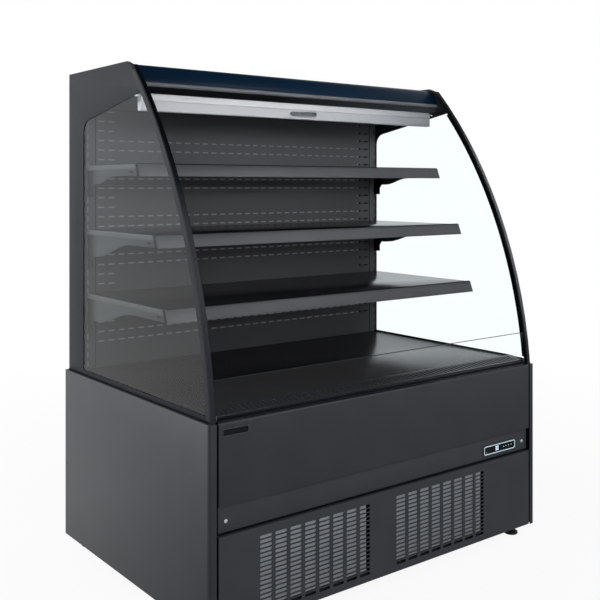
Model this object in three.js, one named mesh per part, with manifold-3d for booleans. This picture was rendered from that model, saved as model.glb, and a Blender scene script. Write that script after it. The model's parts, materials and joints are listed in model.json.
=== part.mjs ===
// Open multideck display fridge, semi-vertical, with its own cooling unit in the base.
// Millimetres, +Z up. The origin is on the floor under the middle of the cabinet.
// +X is to the right of someone who stands in front, and -Y is the shopper's side.
import * as THREE from 'three';
import { mergeGeometries, mergeVertices } from 'three/addons/utils/BufferGeometryUtils.js';
import Module from 'manifold-3d';

const wasm = await Module();
wasm.setup();

// ---------------------------------------------------------------- driving sizes
// Cabinet
const WIDTH = 1110;
const DEPTH = 760;
const HEIGHT = 1325;
const FOOT_HEIGHT = 32; // floor to the underside of the base
const BASE_TOP = 494; // floor to the top of the base side panels
const SIDE_STEP = 10; // the base stands this far outside the upper sides
const SHEET = 1.5; // folded steel sheet
const GAP = 0.3; // fit between two pieces that touch

// Modelling margins
const JOIN = 1; // pieces of one solid run this far into each other
const CUT_OVER = 1; // a cutter runs this far past the faces that it opens
const MERGE_DISTANCE = 0.001; // vertices closer than this are one
const CORNER_SPACING = 1; // least distance between two corners of a curved outline
const CORNER_STEPS = 5;
const SMALL_CORNER_STEPS = 3;
const CHAMFER_STEPS = 1; // a corner with a single flat
const CURVE_STEPS = 8;
const PIN_SIDES = 8; // sides of a thin round rod
const ROD_SIDES = 12;
const DRUM_SIDES = 18;

// Base side panels
const SIDE_CORNER_RADIUS = 10;
const SIDE_RETURN = 20; // width of the folded front and rear edges

// Base pan, posts and feet
const PAN_FLANGE = 40;
const PAN_SHEET = 2;
const PAN_FRONT_SETBACK = 10;
const POST_WIDTH = 20;
const FRONT_POST_DEPTH = 16;
const REAR_POST_DEPTH = 26;
const POST_INSET = 48; // middle of each post from the side of the base
const FOOT_INSET_X = 50;
const FOOT_INSET_Y = 45;
const FOOT_DISC_RADIUS = 20;
const FOOT_DISC_HEIGHT = 6;
const FOOT_EDGE = 2;
const FOOT_CONE_TOP = 13;
const FOOT_NUT_RADIUS = 10;
const FOOT_STEM_RADIUS = 5;
const FOOT_STEM_LENGTH = 52;
const FOOT_HOLE_CLEARANCE = 1;

// Front of the base, from the top down
const FASCIA_LIP_RISE = 2; // the lip's top above the base sides
const FASCIA_LIP_RADIUS = 7;
const FASCIA_LIP_DEPTH = 15;
const FASCIA_HEIGHT = 184.5;
const STRIP_HEIGHT = 60;
const STRIP_SETBACK = 8;
const STRIP_END_STEP = 3; // the strip's ends inside the fascia's ends
const STRIP_GRILLE_GAP = 5.5;
const GRILLE_RISE = 2; // the grille's lower edge above the underside of the base
const FRONT_END_GAP = 5; // shadow gap between a front panel's end and the side's folded edge

// Ventilation grille: two fields of slots
const FIELD_COLUMNS = 8;
const COLUMN_PITCH = 42.7;
const ROW_PITCH = 10.4;
const GRILLE_SLOT_LENGTH = 34;
const GRILLE_SLOT_HEIGHT = 7.5;
const FIELD_SPACING = 89; // plain metal between the two fields
const FIELDS_INSET = 109.6; // plain metal at the left end of the panel
const FIELD_RISE = 17; // plain metal under the lowest row
const FIELD_HEAD = 18; // least plain metal over the highest row
const GRILLE_RETURN = 14;
const FILTER_THICKNESS = 3;
const FILTER_RAIL = 8;
const FILTER_RAIL_GAP = 4; // the rail above the top row of slots
const FILTER_SHORTFALL = 12; // the filter stops this far inside the field's right and lower edges

// Controller in the control strip
const CONTROLLER_INSET = 123; // its middle from the right end of the fascia
const CONTROLLER_RISE = 24; // its middle above the lower edge of the strip
const CONTROLLER_LENGTH = 132;
const CONTROLLER_HEIGHT = 24;
const BEZEL_BORDER = 4;
const BEZEL_PROUD = 3;
const BEZEL_RADIUS = 6;
const CONTROLLER_WINDOW_PROUD = 2;
const MODULE_DEPTH = 38;
const KEY_WIDTH = 7;
const KEY_HEIGHT = 5;
const KEY_CORNER = 1.5;
const KEY_DEPTH = 2.6;
const KEY_TRAVEL = 0.8;
const KEY_PITCH = 11;
const KEY_COUNT = 4;
const KEYS_OFFSET = 34; // middle of the row of keys from the middle of the controller
const KEY_CLEARANCE = 0.4;

// Tub, deck, return-air grille and low front glass
const TUB_RIM_DROP = 2; // the tub's rim below the top of the base
const TUB_HEIGHT = 174;
const TUB_FRONT_SETBACK = 4;
const TUB_FLOOR = 25;
const TUB_WALL = 20;
const TUB_FRONT_WALL = 24;
const TUB_REAR_WALL = 6;
const DECK_RISE = 14; // the deck above the top of the base
const DECK_SETBACK = 80; // front edge of the deck from the front of the base
const RETURN_RISE = 18; // top of the fold between the deck and the return grille, above the base
const RETURN_FOLD = 5.5;
const RETURN_FOLD_DROP = 3;
const RETURN_DROP = 7; // fall of the grille towards the front
const RETURN_END_GAP = 1;
const RETURN_SLOT_PITCH = 14;
const RETURN_SLOT_WIDTH = 5.5;
const RETURN_SLOT_END = 14; // least plain metal at each end of the row of slots
const RETURN_SLOT_MARGIN_REAR = 16;
const RETURN_SLOT_MARGIN_FRONT = 5;
const FRONT_GLASS_THICKNESS = 5;
const FRONT_GLASS_RISE = 90; // top of the low glass above the top of the base
const FRONT_GLASS_SETBACK = 19;
const FRONT_GLASS_END_GAP = 2;
const CHANNEL_DEPTH = 10;

// Upper sides: frame, glass and curved edge
const SIDE_GLASS_THICKNESS = 6;
const GLASS_LAP = 12; // glass behind the frame's edge
const SILL_RISE = 13; // window's lower edge above the base
const WINDOW_REAR_SETBACK = 97;
const WINDOW_REAR_DROP = 141; // rear end of the window's upper edge below the top of the sides
const WINDOW_SLOPE = 0.175; // rise of the window's upper edge per millimetre towards the front
const WINDOW_CORNER_RADIUS = 35;
const WINDOW_FRONT_RADIUS = 12;
const FRAME_REAR_SETBACK = 3;
const FRAME_CREST_SETBACK = 38.6; // flat top edge, behind the upper end of the curve
const EDGE_RADIUS = 1384;
const EDGE_FOOT_SETBACK = 6.5; // curved edge behind the base's front, at the base's top
const EDGE_HEAD_SETBACK = 366.4; // the same, at the upper end of the curve
const EDGE_HEAD_DROP = 13; // upper end of the curve below the top
const TRIM_WIDTH = 12.5;
const TRIM_DEPTH = 10;
const TRIM_WEB = 2;
const TRIM_NOSE_RISE = 3;
const TRIM_NOSE_CORNER = 2;
const ARC_STEPS = 14;
const SEARCH_STEPS = 20;

// Roof, canopy and ceiling; setbacks are from the upper end of the curved edge
const ROOF_DROP = 8; // roof below the tops of the side frames
const ROOF_THICKNESS = 30;
const BACK_THICKNESS = 36.7;
const CANOPY_TOP_SETBACK = 37.6; // where the canopy's face starts to fall
const CANOPY_BEND_SETBACK = 18.1;
const CANOPY_BEND_DROP = 3;
const CANOPY_NOSE_SETBACK = 4.6;
const CANOPY_NOSE_DROP = 52; // nose below the top of the sides
const CANOPY_BOTTOM_DROP = 79;
const CANOPY_LIP = 2; // the canopy's lower fold in front of the blind's bar
const CANOPY_CASSETTE_GAP = 2;
const CANOPY_LAP = 60; // canopy sheet over the roof
const BEAD_LENGTH = 11;
const BEAD_TUCK = 3;
const BEAD_BULGE = 6;
const CEILING_REAR_DROP = 104; // ceiling below the top of the sides, at the rear wall
const CEILING_FLANGE = 12;
const LAMP_WIDTH = 28;
const LAMP_HEIGHT = 11;
const LAMP_CHAMFER = 5;
const LAMP_OFFSET = 10; // lamp behind the blind's cassette

// Night blind; setbacks are from the upper end of the curved edge
const CASSETTE_SETBACK = 27.6;
const CASSETTE_SIZE = 52;
const CASSETTE_SIDE_GAP = 5.9;
const CASSETTE_END = 3;
const ROLLER_RADIUS = 20; // with the fabric wound on it
const ROLLER_SIDE_GAP = 8;
const ROLLER_PIN_RADIUS = 4;
const ROLLER_PIN_LENGTH = 16;
const ROLLER_PIN_CLEARANCE = 0.4;
const ROLLER_PIN_END_GAP = 2;
const ROLLER_OFFSET = 1; // the roller sits this far back of the cassette's middle
const FABRIC_THICKNESS = 0.6;
const FABRIC_MARGIN = 8; // bare roller at each end of the fabric
const FABRIC_SLOT = 5;
const BAR_SETBACK = 13.6;
const BAR_SIDE_GAP = 19.9;
const BAR_TOP_GAP = 0.5;
const BAR_HEIGHT = 44.5;
const BAR_UPPER_BAND = 17.5;
const BAR_DEPTH = 22;
const BAR_LEAN = 3;
const BAR_STEP = 1.5;
const BAR_EDGE = 2;
const BAR_PIN_RADIUS = 2.5;
const BAR_PIN_LENGTH = 8;
const BAR_PIN_DROP = 4; // the pin's axis below the bar's top
const HANDLE_LENGTH = 94;
const HANDLE_HEIGHT = 13;
const HANDLE_BAND = 3;
const HANDLE_THICKNESS = 3.5;
const HANDLE_PROUD = 7;
const HANDLE_POST_RADIUS = 2.7;
const HANDLE_RISE = 16; // middle of the handle above the bar's lower edge

// Rear wall and uprights
const REAR_WALL_SETBACK = 98; // face of the wall from the back of the base
const REAR_WALL_THICKNESS = 3;
const UPRIGHT_WIDTH = 27.6;
const UPRIGHT_OVER_CEILING = 15;
const UPRIGHT_SLOT_PITCH = 25;
const UPRIGHT_SLOT_RISE = 29; // lowest slot above the tub's rim
const UPRIGHT_SLOT_WIDTH = 4;
const UPRIGHT_SLOT_HEIGHT = 15;
const UPRIGHT_SLOT_END = 15; // least plain metal over the highest slot

// Shelves: depth from the rear wall to the front edge; root and lower curve of the brackets
const TOP_SHELF_DEPTH = 295;
const MIDDLE_SHELF_DEPTH = 386;
const BOTTOM_SHELF_DEPTH = 434;
const TOP_BRACKET_ROOT = 51;
const LOWER_BRACKET_ROOT = 71;
const TOP_BRACKET_CURVE = 104;
const MIDDLE_BRACKET_CURVE = 194;
const BOTTOM_BRACKET_CURVE = 214;
const TOP_SHELF = {
  hookSlot: 21,
  depth: TOP_SHELF_DEPTH,
  root: TOP_BRACKET_ROOT,
  curve: TOP_BRACKET_CURVE,
};
const MIDDLE_SHELF = {
  hookSlot: 14,
  depth: MIDDLE_SHELF_DEPTH,
  root: LOWER_BRACKET_ROOT,
  curve: MIDDLE_BRACKET_CURVE,
};
const BOTTOM_SHELF = {
  hookSlot: 7,
  depth: BOTTOM_SHELF_DEPTH,
  root: LOWER_BRACKET_ROOT,
  curve: BOTTOM_BRACKET_CURVE,
};
const SHELF_OVER_HOOK = 20; // shelf top above the middle of its upper hook
const SHELF_SIDE_GAP = 2; // shelf end to the inside of the glass
const SHELF_SIDE_FLANGE = 13;
const SHELF_REAR_GAP = 3;
const SHELF_FOLD_SHORTFALL = 4; // the shelf's front fold ends above the rail's foot
const SHELF_FOLD_RETURN = 12;
const SHELF_STEP_WIDTH = 12; // pressed step along the shelf's front edge, under the rail's hook
const RAIL_HEIGHT = 31;
const RAIL_LEAN = 12; // the rail's lower edge stands this far in front of its upper edge
const RAIL_DEPTH = 2.2; // top of the rail's face in front of the shelf's edge
const RAIL_WALL = 1.1;
const RAIL_HOOK = 7;
const RAIL_EDGE = 1.5;
const RAIL_FOOT = 9;
const BRACKET_THICKNESS = 2.5;
const BRACKET_FRONT_GAP = 3;
const BRACKET_FRONT_DEPTH = 30;
const BRACKET_TAIL_WIDTH = 28;
const BRACKET_TAIL_DROP = 33;
const BRACKET_HEEL_WIDTH = 10;
const BRACKET_HEEL_DROP = 12;
const BRACKET_SHOULDER = 58; // rear wall to where the bracket's lower edge leaves its deep root
const BRACKET_CURVE_STEPS = 6;
const HOOK_LENGTH = 10;
const HOOK_HEIGHT = 11;
const HOOK_SPACING = 2; // slots from the upper hook to the lower one

// Cooling unit
const COMPRESSOR_X = 190;
const COMPRESSOR_SETBACK = 340; // its middle from the back of the base
const COMPRESSOR_RADIUS = 72;
const COMPRESSOR_HEIGHT = 205;
const COMPRESSOR_STAND = 18; // underside of the can above the pan
const COMPRESSOR_PLATE = 170;
const COMPRESSOR_PLATE_SHEET = 3;
const COMPRESSOR_PAD_RADIUS = 13;
const COMPRESSOR_PAD_INSET = 16;
// Profile of the can between its flat ends: share of the radius and of the height
const COMPRESSOR_PROFILE = [[0.7, 0], [0.96, 0.09], [1, 0.22], [1, 0.63], [0.93, 0.8], [0.7, 0.95]];
const CONDENSER_X = -255;
const CONDENSER_LENGTH = 340;
const CONDENSER_SETBACK = 50; // its front face from the front of the base
const CONDENSER_DEPTH = 66;
const CONDENSER_HEIGHT = 196;
const CONDENSER_FINS = 12;
const CONDENSER_FAN_RADIUS = 82;
const CONDENSER_FAN_SETBACK = 18; // fan behind the front of its shroud plate
const EVAPORATOR_SETBACK = 22; // its rear face in front of the rear wall
const EVAPORATOR_DEPTH = 190;
const EVAPORATOR_HEIGHT = 120;
const EVAPORATOR_SIDE_GAP = 46.9;
const EVAPORATOR_FINS = 12;
const FIN_HEADER = 18; // height of the bar that joins the fins
const FAN_PLATE_GAP = 110; // fan plate to the evaporator
const EVAPORATOR_FAN_RADIUS = 62;
const EVAPORATOR_FAN_LEAD = 8; // fan in front of its plate
const EVAPORATOR_FAN_X = 240;
const SHROUD_SHEET = 2;
const FAN_TIP_CLEARANCE = 5;
const FAN_HOLE_STEPS = 20;
const FAN_HUB_RADIUS = 18;
const FAN_HUB_DEPTH = 22;
const FAN_BLADES = 5;
const FAN_PITCH_DEG = 32;
const BLADE_THICKNESS = 2;
const BLADE_ROOT = 12.6; // inner end of a blade, from the axis
// Blade outline: share of its length outwards and across
const BLADE_OUTLINE = [[0, -0.22], [0.75, -0.36], [1, -0.2], [0.9, 0.3], [0, 0.22]];
const SHAFT_RADIUS = 4;
const SHAFT_CLEARANCE = 0.4;
const SHAFT_LAP = 1; // the shaft's end past the middle of the hub
const MOTOR_RADIUS = 26;
const MOTOR_DEPTH = 38;
const MOTOR_GAP = 4; // motor behind the hub
const ARM_SIZE = 4;
const ARM_REACH = 4; // inner face of an arm's foot, outside the hole
const ARM_SETBACK = 10; // arm behind the motor's front
const REAR_VENT_COLUMNS = 2;
const REAR_VENT_ROWS = 8;
const REAR_VENT_SLOT_LENGTH = 180;
const REAR_VENT_SLOT_HEIGHT = 8;
const REAR_VENT_COLUMN_PITCH = 240;
const REAR_VENT_ROW_PITCH = 20;
const REAR_VENT_END_GAP = 1;

// ---------------------------------------------------------------- worked-out places
const HALF = WIDTH / 2;
const FRONT = -DEPTH / 2;
const BACK = DEPTH / 2;
const SIDE_OUT = HALF - SIDE_STEP; // outer face of an upper side
const GLASS_OUT = SIDE_OUT - SHEET - GAP;
const SIDE_IN = GLASS_OUT - SIDE_GLASS_THICKNESS; // inner face of an upper side
const INSIDE_HALF = SIDE_IN - GAP; // half width of what fits between the sides
const TRIM_IN = SIDE_OUT - TRIM_WIDTH;
const PANEL_HALF = HALF - SIDE_RETURN - FRONT_END_GAP;
const UPPER_FOOT = BASE_TOP + GAP; // where the upper sides stand on the base
const HEAD_Y = FRONT + EDGE_HEAD_SETBACK; // upper end of the curved edge
const FRAME_REAR = BACK - FRAME_REAR_SETBACK;
const PAN_FLOOR = FOOT_HEIGHT + PAN_SHEET;
const PAN_FRONT = FRONT + PAN_FRONT_SETBACK;
const PAN_REAR = BACK - SHEET - 2 * GAP;
const BACK_REAR = FRAME_REAR - GAP;
const BACK_FRONT = BACK_REAR - BACK_THICKNESS;
const ROOF_TOP = HEIGHT - ROOF_DROP;
const ROOF_BOTTOM = ROOF_TOP - ROOF_THICKNESS;
const FASCIA_TOP = BASE_TOP + FASCIA_LIP_RISE;
const FASCIA_BOTTOM = FASCIA_TOP - FASCIA_HEIGHT;
const STRIP_BOTTOM = FASCIA_BOTTOM - STRIP_HEIGHT;
const STRIP_Y = FRONT + STRIP_SETBACK;
const CONTROLLER_X = PANEL_HALF - CONTROLLER_INSET;
const CONTROLLER_Z = STRIP_BOTTOM + CONTROLLER_RISE;
const GRILLE_TOP = STRIP_BOTTOM - STRIP_GRILLE_GAP;
const GRILLE_BOTTOM = FOOT_HEIGHT + GRILLE_RISE;
const FRONT_POST_FACE = STRIP_Y + GRILLE_RETURN;
const TUB_RIM = BASE_TOP - TUB_RIM_DROP;
const TUB_BOTTOM = TUB_RIM - TUB_HEIGHT;
const DECK_TOP = BASE_TOP + DECK_RISE;
const DECK_FRONT_Y = FRONT + DECK_SETBACK;
const FRONT_GLASS_Y = FRONT + FRONT_GLASS_SETBACK; // front face of the low glass
const WINDOW_REAR_Y = BACK - WINDOW_REAR_SETBACK;
const CASSETTE_FRONT_Y = HEAD_Y + CASSETTE_SETBACK;
const CASSETTE_REAR_Y = CASSETTE_FRONT_Y + CASSETTE_SIZE;
const CASSETTE_HALF = INSIDE_HALF - CASSETTE_SIDE_GAP;
const CANOPY_NOSE_Y = HEAD_Y + CANOPY_NOSE_SETBACK;
const CANOPY_BOTTOM = HEIGHT - CANOPY_BOTTOM_DROP;
const CASSETTE_BOTTOM = CANOPY_BOTTOM + SHEET + GAP;
const ROOF_FRONT_Y = CASSETTE_REAR_Y + GAP;
const BAR_FRONT_Y = HEAD_Y + BAR_SETBACK;
const BAR_HALF = INSIDE_HALF - BAR_SIDE_GAP;
const BAR_TOP = CANOPY_BOTTOM - BAR_TOP_GAP;
const BAR_BOTTOM = BAR_TOP - BAR_HEIGHT;
const ROLLER_Y = CASSETTE_FRONT_Y + CASSETTE_SIZE / 2 + ROLLER_OFFSET;
const ROLLER_Z = CASSETTE_BOTTOM + CASSETTE_SIZE / 2;
const ROLLER_HALF = CASSETTE_HALF - CASSETTE_END - ROLLER_SIDE_GAP;
const FABRIC_HALF = ROLLER_HALF - FABRIC_MARGIN;
const FABRIC_Y = ROLLER_Y - ROLLER_RADIUS - GAP; // rear face of the hanging fabric
const REAR_WALL_Y = BACK - REAR_WALL_SETBACK;
const CEILING_REAR_Z = HEIGHT - CEILING_REAR_DROP;
const CEILING_FRONT_Y = CASSETTE_REAR_Y + GAP;
const UPRIGHT_TOP = CEILING_REAR_Z + UPRIGHT_OVER_CEILING;
const UPRIGHT_INNER = INSIDE_HALF - UPRIGHT_WIDTH;
const REAR_WALL_HALF = UPRIGHT_INNER - GAP;
const SHELF_HALF = INSIDE_HALF - SHELF_SIDE_GAP;
const SHELF_STEP = RAIL_WALL + GAP; // depth of the pressed step, so that the rail lies flush
const BRACKET_OUT = SHELF_HALF - SHEET - GAP;
const BRACKET_IN = BRACKET_OUT - BRACKET_THICKNESS;
const slotZ = (slot) => TUB_RIM + UPRIGHT_SLOT_RISE + slot * UPRIGHT_SLOT_PITCH;

// Centre of the curved front edge, from its two ends and its radius
function edgeCentre() {
  const foot = new THREE.Vector2(FRONT + EDGE_FOOT_SETBACK, BASE_TOP);
  const head = new THREE.Vector2(HEAD_Y, HEIGHT - EDGE_HEAD_DROP);
  const chord = head.clone().sub(foot);
  const rise = Math.sqrt(EDGE_RADIUS ** 2 - chord.lengthSq() / 4);
  const towardsCentre = new THREE.Vector2(chord.y, -chord.x).normalize();
  return foot.add(head).multiplyScalar(0.5).addScaledVector(towardsCentre, rise);
}
const EDGE = edgeCentre();

// ---------------------------------------------------------------- shape helpers
const X_AXIS = new THREE.Vector3(1, 0, 0);
const Y_AXIS = new THREE.Vector3(0, 1, 0);
const Z_AXIS = new THREE.Vector3(0, 0, 1);
const PROFILE_YZ = new THREE.Matrix4().makeBasis(Y_AXIS, Z_AXIS, X_AXIS);
const PROFILE_XZ = new THREE.Matrix4().makeBasis(X_AXIS, Z_AXIS, Y_AXIS.clone().negate());

function extrude(profile, depth, holes = []) {
  const shape = new THREE.Shape(profile.map(([u, v]) => new THREE.Vector2(u, v)));
  shape.holes = holes.map((hole) => new THREE.Path(hole.map(([u, v]) => new THREE.Vector2(u, v))));
  return new THREE.ExtrudeGeometry(shape, { depth, bevelEnabled: false });
}

// A profile drawn in (Y, Z), swept from x0 to x1
function sweepX(profile, x0, x1) {
  return extrude(profile, x1 - x0).applyMatrix4(PROFILE_YZ).translate(x0, 0, 0);
}

// A profile drawn in (X, Z), swept from y0 to y1
function sweepY(profile, y0, y1, holes) {
  return extrude(profile, y1 - y0, holes).applyMatrix4(PROFILE_XZ).translate(0, y1, 0);
}

// A profile drawn in (X, Y), swept from z0 to z1
function sweepZ(profile, z0, z1) {
  return extrude(profile, z1 - z0).translate(0, 0, z0);
}

// The same profile sweep for a piece on one side: side is -1 on the left and 1 on the right
function sweepSide(profile, side, inner, outer) {
  const [x0, x1] = side > 0 ? [inner, outer] : [-outer, -inner];
  return sweepX(profile, x0, x1);
}

function block(x0, x1, y0, y1, z0, z1) {
  const geometry = new THREE.BoxGeometry(x1 - x0, y1 - y0, z1 - z0);
  return geometry.translate((x0 + x1) / 2, (y0 + y1) / 2, (z0 + z1) / 2);
}

// A cylinder along X, Y or Z between two places on that axis
function rod(axis, radius, from, to, [a, b], sides) {
  const geometry = new THREE.CylinderGeometry(radius, radius, to - from, sides);
  const middle = (from + to) / 2;
  if (axis === 'x') return geometry.rotateZ(-Math.PI / 2).translate(middle, a, b);
  if (axis === 'y') return geometry.translate(a, middle, b);
  return geometry.rotateX(Math.PI / 2).translate(a, b, middle);
}

function rectangle(u0, u1, v0, v1) {
  return [[u0, v0], [u1, v0], [u1, v1], [u0, v1]];
}

function arc(centreU, centreV, radius, fromDeg, toDeg, steps) {
  const points = [];
  for (let i = 0; i <= steps; i += 1) {
    const angle = THREE.MathUtils.degToRad(fromDeg + ((toDeg - fromDeg) * i) / steps);
    points.push([centreU + radius * Math.cos(angle), centreV + radius * Math.sin(angle)]);
  }
  return points;
}

function roundedRectangle(u0, u1, v0, v1, radius, steps) {
  return [
    ...arc(u1 - radius, v0 + radius, radius, -90, 0, steps),
    ...arc(u1 - radius, v1 - radius, radius, 0, 90, steps),
    ...arc(u0 + radius, v1 - radius, radius, 90, 180, steps),
    ...arc(u0 + radius, v0 + radius, radius, 180, 270, steps),
  ];
}

// A folded sheet seen end on: the line is one face, and the sheet lies on the left of its direction
function folded(line, thickness) {
  const normals = line.slice(1).map(([u, v], i) => {
    const direction = new THREE.Vector2(u - line[i][0], v - line[i][1]).normalize();
    return new THREE.Vector2(-direction.y, direction.x);
  });
  const other = line.map(([u, v], i) => {
    const before = normals[Math.max(i - 1, 0)];
    const after = normals[Math.min(i, normals.length - 1)];
    const scale = thickness / (1 + before.dot(after));
    return [u + (before.x + after.x) * scale, v + (before.y + after.y) * scale];
  });
  return [...line, ...other.reverse()];
}

function solid(geometry) {
  const bare = new THREE.BufferGeometry();
  bare.setAttribute('position', geometry.getAttribute('position').clone());
  if (geometry.index) bare.setIndex(geometry.index.clone());
  const merged = mergeVertices(bare, MERGE_DISTANCE);
  const vertProperties = new Float32Array(merged.getAttribute('position').array);
  const triVerts = new Uint32Array(merged.index.array);
  return new wasm.Manifold(new wasm.Mesh({ numProp: 3, vertProperties, triVerts }));
}

function geometryOf(manifold) {
  const { vertProperties, triVerts } = manifold.getMesh();
  const geometry = new THREE.BufferGeometry();
  geometry.setAttribute('position', new THREE.BufferAttribute(vertProperties, 3));
  geometry.setIndex(new THREE.BufferAttribute(triVerts, 1));
  geometry.computeVertexNormals();
  return geometry;
}

function join(...pieces) {
  return geometryOf(pieces.map(solid).reduce((sum, piece) => sum.add(piece)));
}

function cut(body, ...tools) {
  return geometryOf(tools.map(solid).reduce((left, tool) => left.subtract(tool), solid(body)));
}

// Many separate cutters, such as a field of slots, as one geometry
function together(pieces) {
  for (const piece of pieces) {
    piece.deleteAttribute('normal');
    piece.deleteAttribute('uv');
  }
  return mergeGeometries(pieces);
}

// ---------------------------------------------------------------- finishes
const FINISHES = {
  darkCoat: { color: 0x36393c, roughness: 0.5, metalness: 0.3 },
  shelfCoat: { color: 0x2c2e30, roughness: 0.35, metalness: 0.3 },
  navyGloss: { color: 0x0b1c2b, roughness: 0.15, metalness: 0.2 },
  edgeBlack: { color: 0x121619, roughness: 0.35, metalness: 0.1 },
  greyPlastic: { color: 0x63676b, roughness: 0.45, metalness: 0 },
  blackPlastic: { color: 0x17191b, roughness: 0.4, metalness: 0 },
  whiteBar: { color: 0xd4d6d6, roughness: 0.4, metalness: 0.2 },
  blindFabric: { color: 0xc9cbca, roughness: 0.8, metalness: 0 },
  galvanised: { color: 0x8f9496, roughness: 0.45, metalness: 0.8 },
  aluminium: { color: 0xa9adaf, roughness: 0.4, metalness: 0.9 },
  compressorBlack: { color: 0x141414, roughness: 0.5, metalness: 0.3 },
  lampWhite: { color: 0xf1f3f2, roughness: 0.3, metalness: 0 },
  glass: { color: 0xe4f2f0, roughness: 0.02, metalness: 0, transparent: true, opacity: 0.3 },
  rubber: { color: 0x1b1b1b, roughness: 0.8, metalness: 0 },
};

const fridge = new THREE.Group();

function place(name, geometry, finish, parent = fridge) {
  const mesh = new THREE.Mesh(geometry, new THREE.MeshStandardMaterial(FINISHES[finish]));
  mesh.name = name;
  parent.add(mesh);
  return mesh;
}

// ---------------------------------------------------------------- base
// Plan outline of a base side panel's outer skin, drawn a little inside its outer face
function baseSideLine(inset) {
  const cornerX = HALF - SIDE_CORNER_RADIUS;
  const cornerY = FRONT + SIDE_CORNER_RADIUS;
  return [
    [HALF - SIDE_RETURN, FRONT + inset],
    ...arc(cornerX, cornerY, SIDE_CORNER_RADIUS - inset, -90, 0, CORNER_STEPS),
    [HALF - inset, BACK - inset],
    [HALF - SIDE_RETURN, BACK - inset],
  ];
}

function baseSide(side) {
  const mirrored = (points) => points.map(([x, y]) => [side * x, y]);
  const skin = sweepZ(mirrored(folded(baseSideLine(0), SHEET)), FOOT_HEIGHT, BASE_TOP);
  const ledge = baseSideLine(SHEET / 2);
  ledge[0][0] = SIDE_IN + GAP;
  ledge[ledge.length - 1][0] = SIDE_IN + GAP;
  return join(skin, sweepZ(mirrored(ledge), BASE_TOP - SHEET, BASE_TOP));
}

function footPlaces() {
  const x = HALF - FOOT_INSET_X;
  const y = DEPTH / 2 - FOOT_INSET_Y;
  return [['front_left', -x, -y], ['front_right', x, -y], ['rear_left', -x, y], ['rear_right', x, y]];
}

function basePan() {
  const half = HALF - SHEET - GAP;
  const tray = cut(
    block(-half, half, PAN_FRONT, PAN_REAR, FOOT_HEIGHT, FOOT_HEIGHT + PAN_FLANGE),
    block(
      PAN_SHEET - half,
      half - PAN_SHEET,
      PAN_FRONT + PAN_SHEET,
      PAN_REAR - PAN_SHEET,
      PAN_FLOOR,
      FOOT_HEIGHT + PAN_FLANGE + CUT_OVER,
    ),
  );
  const post = (x, y0, y1) =>
    block(x - POST_WIDTH / 2, x + POST_WIDTH / 2, y0, y1, FOOT_HEIGHT + PAN_SHEET / 2, TUB_BOTTOM - GAP);
  const postX = HALF - POST_INSET;
  const frontPostY = FRONT_POST_FACE + GAP;
  const rearPostY = PAN_REAR - PAN_SHEET / 2;
  const posts = [-postX, postX].flatMap((x) => [
    post(x, frontPostY, frontPostY + FRONT_POST_DEPTH),
    post(x, rearPostY - REAR_POST_DEPTH, rearPostY),
  ]);
  const holeRadius = FOOT_STEM_RADIUS + FOOT_HOLE_CLEARANCE;
  const holes = footPlaces().map(([, x, y]) =>
    rod('z', holeRadius, FOOT_HEIGHT - CUT_OVER, PAN_FLOOR + CUT_OVER, [x, y], ROD_SIDES),
  );
  return cut(join(tray, ...posts), ...holes);
}

// A levelling foot: a wide disc under a screwed stem
function foot() {
  const profile = [
    [0, 0],
    [FOOT_DISC_RADIUS - FOOT_EDGE, 0],
    [FOOT_DISC_RADIUS, FOOT_EDGE],
    [FOOT_DISC_RADIUS, FOOT_DISC_HEIGHT],
    [FOOT_NUT_RADIUS, FOOT_CONE_TOP],
    [FOOT_NUT_RADIUS, FOOT_HEIGHT - GAP],
    [FOOT_STEM_RADIUS, FOOT_HEIGHT - GAP],
    [FOOT_STEM_RADIUS, FOOT_STEM_LENGTH],
    [0, FOOT_STEM_LENGTH],
  ];
  const points = profile.map(([r, z]) => new THREE.Vector2(r, z));
  return new THREE.LatheGeometry(points, ROD_SIDES).rotateX(Math.PI / 2);
}

function fieldLength() {
  return (FIELD_COLUMNS - 1) * COLUMN_PITCH + GRILLE_SLOT_LENGTH;
}

// As many rows of slots as the panel's height takes
function fieldRows() {
  const space = GRILLE_TOP - GRILLE_BOTTOM - FIELD_RISE - FIELD_HEAD - GRILLE_SLOT_HEIGHT;
  return Math.floor(space / ROW_PITCH) + 1;
}

function fieldHeight() {
  return (fieldRows() - 1) * ROW_PITCH + GRILLE_SLOT_HEIGHT;
}

// Left end of each field of grille slots
function fieldStarts() {
  const left = FIELDS_INSET - PANEL_HALF;
  return [left, left + fieldLength() + FIELD_SPACING];
}

function grilleSlots() {
  const slots = [];
  for (const start of fieldStarts()) {
    for (let column = 0; column < FIELD_COLUMNS; column += 1) {
      for (let row = 0; row < fieldRows(); row += 1) {
        const x = start + column * COLUMN_PITCH;
        const z = GRILLE_BOTTOM + FIELD_RISE + row * ROW_PITCH;
        const outline = rectangle(x, x + GRILLE_SLOT_LENGTH, z, z + GRILLE_SLOT_HEIGHT);
        slots.push(sweepY(outline, FRONT - CUT_OVER, FRONT + SHEET + CUT_OVER));
      }
    }
  }
  return slots;
}

function grillePanel() {
  const sheet = block(-PANEL_HALF, PANEL_HALF, FRONT, FRONT + SHEET, GRILLE_BOTTOM, GRILLE_TOP);
  const face = cut(sheet, together(grilleSlots()));
  const fold = FRONT + SHEET / 2;
  const upper = block(-PANEL_HALF, PANEL_HALF, fold, FRONT + GRILLE_RETURN, GRILLE_TOP - SHEET, GRILLE_TOP);
  const lower = block(
    -PANEL_HALF,
    PANEL_HALF,
    fold,
    PAN_FRONT - GAP,
    GRILLE_BOTTOM,
    GRILLE_BOTTOM + SHEET,
  );
  return join(face, upper, lower);
}

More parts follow.
